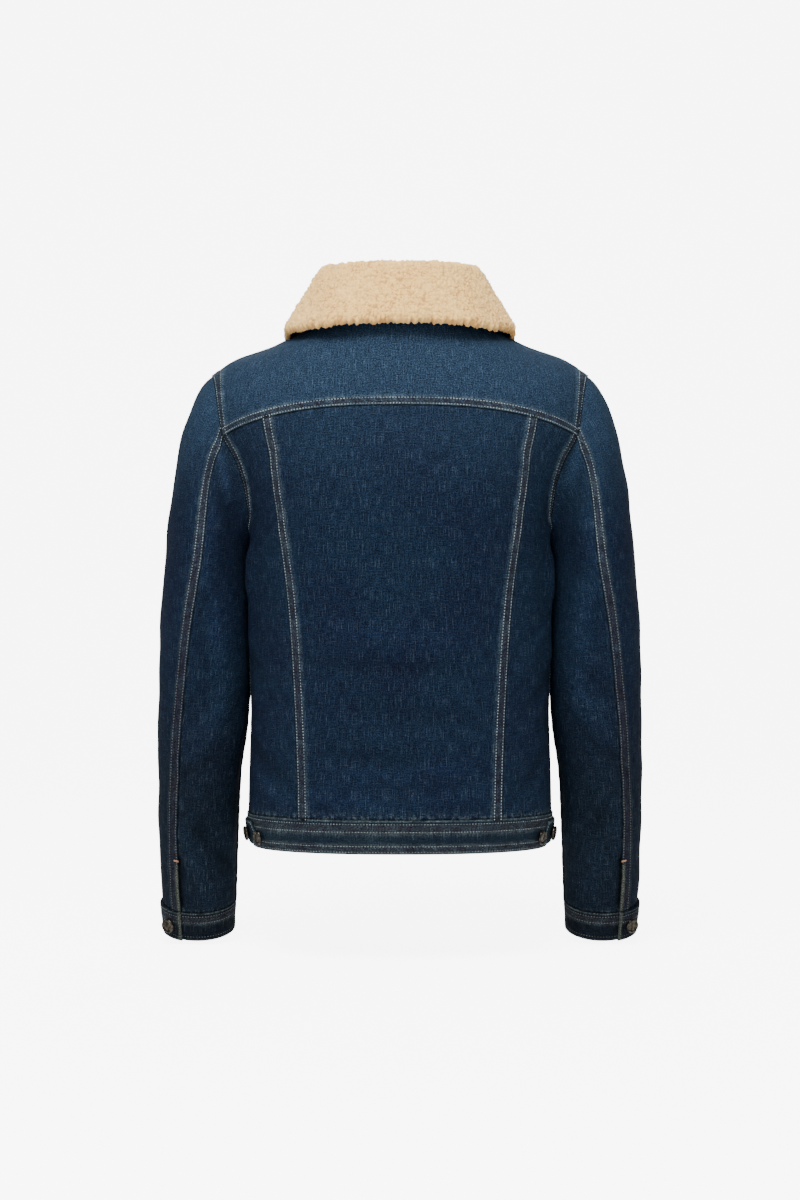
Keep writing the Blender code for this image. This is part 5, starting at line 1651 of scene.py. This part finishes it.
# %% Make the buttons
def button(name, place, normal, node):
    """The turned form, set on the cloth with its axis along the normal."""
    side = unit(np.cross([0.0, 0.0, 1.0], normal))
    frame_of = np.stack([side, np.cross(normal, side), normal])
    piece = put_mesh(name, place + normal * SEAM + BUTTON_POINTS @ frame_of, BUTTON_FACES, [bronze])
    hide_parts(node)


def both_buttons(name, place, normal):
    """The same button on the wearer's left and, mirrored, on the right."""
    flip = np.array([-1, 1, 1])
    button(name + "_L", place, normal, name + "_left")
    button(name + "_R", place * flip, normal * flip, name + "_right")


def on_band(angle, z, height):
    """A place on the hem band's form, height above it, and the normal there."""
    heights, angles = [z - 0.004, z, z + 0.004], [angle + 0.02, angle, angle - 0.02]
    grid = band_loop(*np.meshgrid(heights, angles, indexing="ij"))
    normal = normals_of(grid)[1, 1]
    return grid[1, 1] + normal * height, normal


def on_cuff(angle, z):
    """A place on the cuff's form and the normal there."""
    grid = on_ring(*np.meshgrid([angle - 0.03, angle, angle + 0.03], [z - 0.004, z, z + 0.004]))
    return grid[1, 1], normals_of(grid)[1, 1]


LOWEST_BUTTON, NECK_TO_BUTTON = -0.603, 0.016
middle, out = placket[:, 20], normals_of(placket)[:, 20]
for number, z in enumerate(np.linspace(LOWEST_BUTTON, middle[-1, 2] - NECK_TO_BUTTON, 6)[::-1], 1):
    normal = unit(on_line(z, middle[:, 2], out))
    place = on_line(z, middle[:, 2], middle) + normal * (PLACKET_CLEAR + BAND)
    button(f"button_front_{number}", place, normal, f"front_button_{number}")
both_buttons("tab_button", *on_band(math.radians(75.5), -0.6040, BAND_PROUD + SEAM + BAND))
both_buttons("band_button", *on_band(math.radians(63.5), -0.6070, BAND_PROUD))
place, normal = on_cuff(math.radians(CUFF_END - 21), -0.7122)
tilted = unit(normal + [0, 0.45, 0])  # the cloth under a cuff's button is pulled round to the back
both_buttons("cuff_button", place + normal * (BAND_PROUD + BAND + SEAM + 0.0006), tilted)
print("12 buttons of", len(BUTTON_FACES), "triangles")

# %% [markdown]
# ## What each piece stands for
# Every panel takes the place of a CAD solid and, as it is cloth or skin, has the flat size that it was
# cut to: width round the body, length down it and area, with the folds at the seams left out. The sizes
# are listed from the pattern, so that they can be held against the finished cloth. The buttons said
# theirs above, and thread stands for no solid.

Cut = namedtuple("Cut", "node width length area")
CUTS = {
    "cloth_yoke": Cut("back_yoke", 0.570, 0.186, 0.0715),
    "cloth_back_centre": Cut("back_centre", 0.317, 0.469, 0.1250),
    "cloth_back_side_left": Cut("back_side_left", 0.133, 0.470, 0.0500),
    "cloth_back_side_right": Cut("back_side_right", 0.133, 0.470, 0.0500),
    "cloth_front_left": Cut("front_left", 0.295, 0.642, 0.1285),
    "cloth_front_right": Cut("front_right", 0.295, 0.642, 0.1285),
    "cloth_placket": Cut("front_placket", 0.044, 0.572, 0.0250),
    "cloth_placket_underlap": Cut("placket_under", 0.037, 0.534, 0.0196),
    "cloth_sleeve_upper_left": Cut("sleeve_upper_left", 0.368, 0.639, 0.1360),
    "cloth_sleeve_upper_right": Cut("sleeve_upper_right", 0.368, 0.639, 0.1360),
    "cloth_sleeve_under_left": Cut("sleeve_under_left", 0.150, 0.576, 0.0500),
    "cloth_sleeve_under_right": Cut("sleeve_under_right", 0.150, 0.576, 0.0500),
    "cloth_hem_band_back": Cut("hem_band_back", 0.489, 0.039, 0.0190),
    "cloth_hem_band_front_left": Cut("hem_band_front_left", 0.232, 0.039, 0.0090),
    "cloth_hem_band_front_right": Cut("hem_band_front_right", 0.270, 0.039, 0.0105),
    "cloth_tab_left": Cut("waist_tab_left", 0.111, 0.028, 0.0031),
    "cloth_tab_right": Cut("waist_tab_right", 0.111, 0.028, 0.0031),
    "cloth_cuff_left": Cut("cuff_left", 0.290, 0.036, 0.0104),
    "cloth_cuff_right": Cut("cuff_right", 0.290, 0.036, 0.0104),
    "collar_backing": Cut("collar_under", 0.790, 0.140, 0.0775),
    "collar_wool": Cut("collar_shearling", 0.790, 0.140, 0.0775),
}
for name, cut in CUTS.items():
    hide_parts(cut.node)
    width, length, area = measured[name]
    print(f"{name:26s} {width:.3f} x {length:.3f} m, {area:.4f} m2 finished, cut {cut.area:.4f} m2")

# %% [markdown]
# ## Studio
# A pale floor that curves up into a backdrop, soft light from large panels, and a camera level with the
# middle of the jacket, behind it. The backdrop and the world are brighter to the camera than to the
# jacket: a Light Path node tells the two apart, so the paper looks white and the cloth isn't flooded with
# its light.

# %% Floor and backdrop
FLOOR_Z, BEND_RADIUS = -0.7445, 0.9
GLOW = 6.4  # of floor and world, as the camera sees them
FLOOR_SHARE, WORLD_SHARE = 0.0625, 0.05  # of that glow, what lights the cloth


def seen_by_camera(tree, share):
    """White to the camera's own rays and a dark grey to all the others."""
    to_camera = add(tree, "LightPath").outputs["Is Camera Ray"]
    return mixed(tree, to_camera, (share, share, share, 1), (1, 1, 1, 1))


def backdrop():
    """A floor that rises into a wall on a quarter circle, as one swept profile."""
    bend = np.radians(np.linspace(0, 90, 25))
    y = np.concatenate([[6.0], -2.6 - BEND_RADIUS * np.sin(bend), [-3.5]])
    z = np.concatenate([[0.0], BEND_RADIUS - BEND_RADIUS * np.cos(bend), [6.0]]) + FLOOR_Z
    x = np.linspace(-6, 6, 3)
    points = np.stack(np.broadcast_arrays(x[None, :], y[:, None], z[:, None]), -1)
    return points.reshape(-1, 3), grid_quads(len(y), 3)[:, ::-1]


def make_floor():
    """The backdrop in matt white paper that glows a little."""
    points, faces = backdrop()
    mesh = bpy.data.meshes.new("studio_floor")
    mesh.from_pydata(points.tolist(), [], faces.tolist())
    mesh.shade_smooth()
    white = plain_material("studio_white", (0.84, 0.84, 0.84, 1), (0.82, 0.82, 0.82, 1), 1.5, 0.9)
    glow = white.node_tree.nodes["Principled BSDF"]
    glow.inputs["Emission Strength"].default_value = GLOW
    white.node_tree.links.new(seen_by_camera(white.node_tree, FLOOR_SHARE), glow.inputs["Emission Color"])
    mesh.materials.append(white)
    floor = bpy.data.objects.new("studio_floor", mesh)
    show(floor)


make_floor()

# %% Light and camera
def panel_light(name, place, target, size, watts):
    """A square panel at a place, turned so that it faces its target."""
    light = bpy.data.lights.new(name, "AREA")
    light.shape, light.size, light.energy = "SQUARE", size, watts
    lamp = bpy.data.objects.new(name, light)
    lamp.location = place
    away = np.array(place) - np.array(target)
    flat = math.hypot(away[0], away[1])
    lamp.rotation_euler = (math.atan2(flat, away[2]), 0, math.atan2(away[0], -away[1]))
    show(lamp)


panel_light("key", (0.3, 1.7, 2.5), (0, 0, -0.20), 1.6, 224)
panel_light("fill", (-2.4, 1.6, 0.6), (0, 0, -0.3), 1.6, 3)
panel_light("fill_left", (2.4, 1.6, 0.6), (0, 0, -0.3), 1.6, 3)
panel_light("behind_camera", (0.0, 3.6, 0.1), (0, 0, -0.4), 2.0, 46)
panel_light("front", (0.0, -2.2, 1.6), (0, 0, -0.3), 1.8, 28)
world = bpy.data.worlds.new("studio")
world.use_nodes = True
sky = world.node_tree.nodes["Background"]
world.node_tree.links.new(seen_by_camera(world.node_tree, WORLD_SHARE), sky.inputs["Color"])
sky.inputs["Strength"].default_value = GLOW
bpy.context.scene.world = world
lens = bpy.data.cameras.new("camera")
lens.lens, lens.sensor_width, lens.sensor_fit = 66.7, 36, "AUTO"
camera = bpy.data.objects.new("camera", lens)
camera.location = (0, 2.6, -0.337)
camera.rotation_euler = (math.radians(90), 0, math.radians(180))
show(camera)
bpy.context.scene.camera = camera
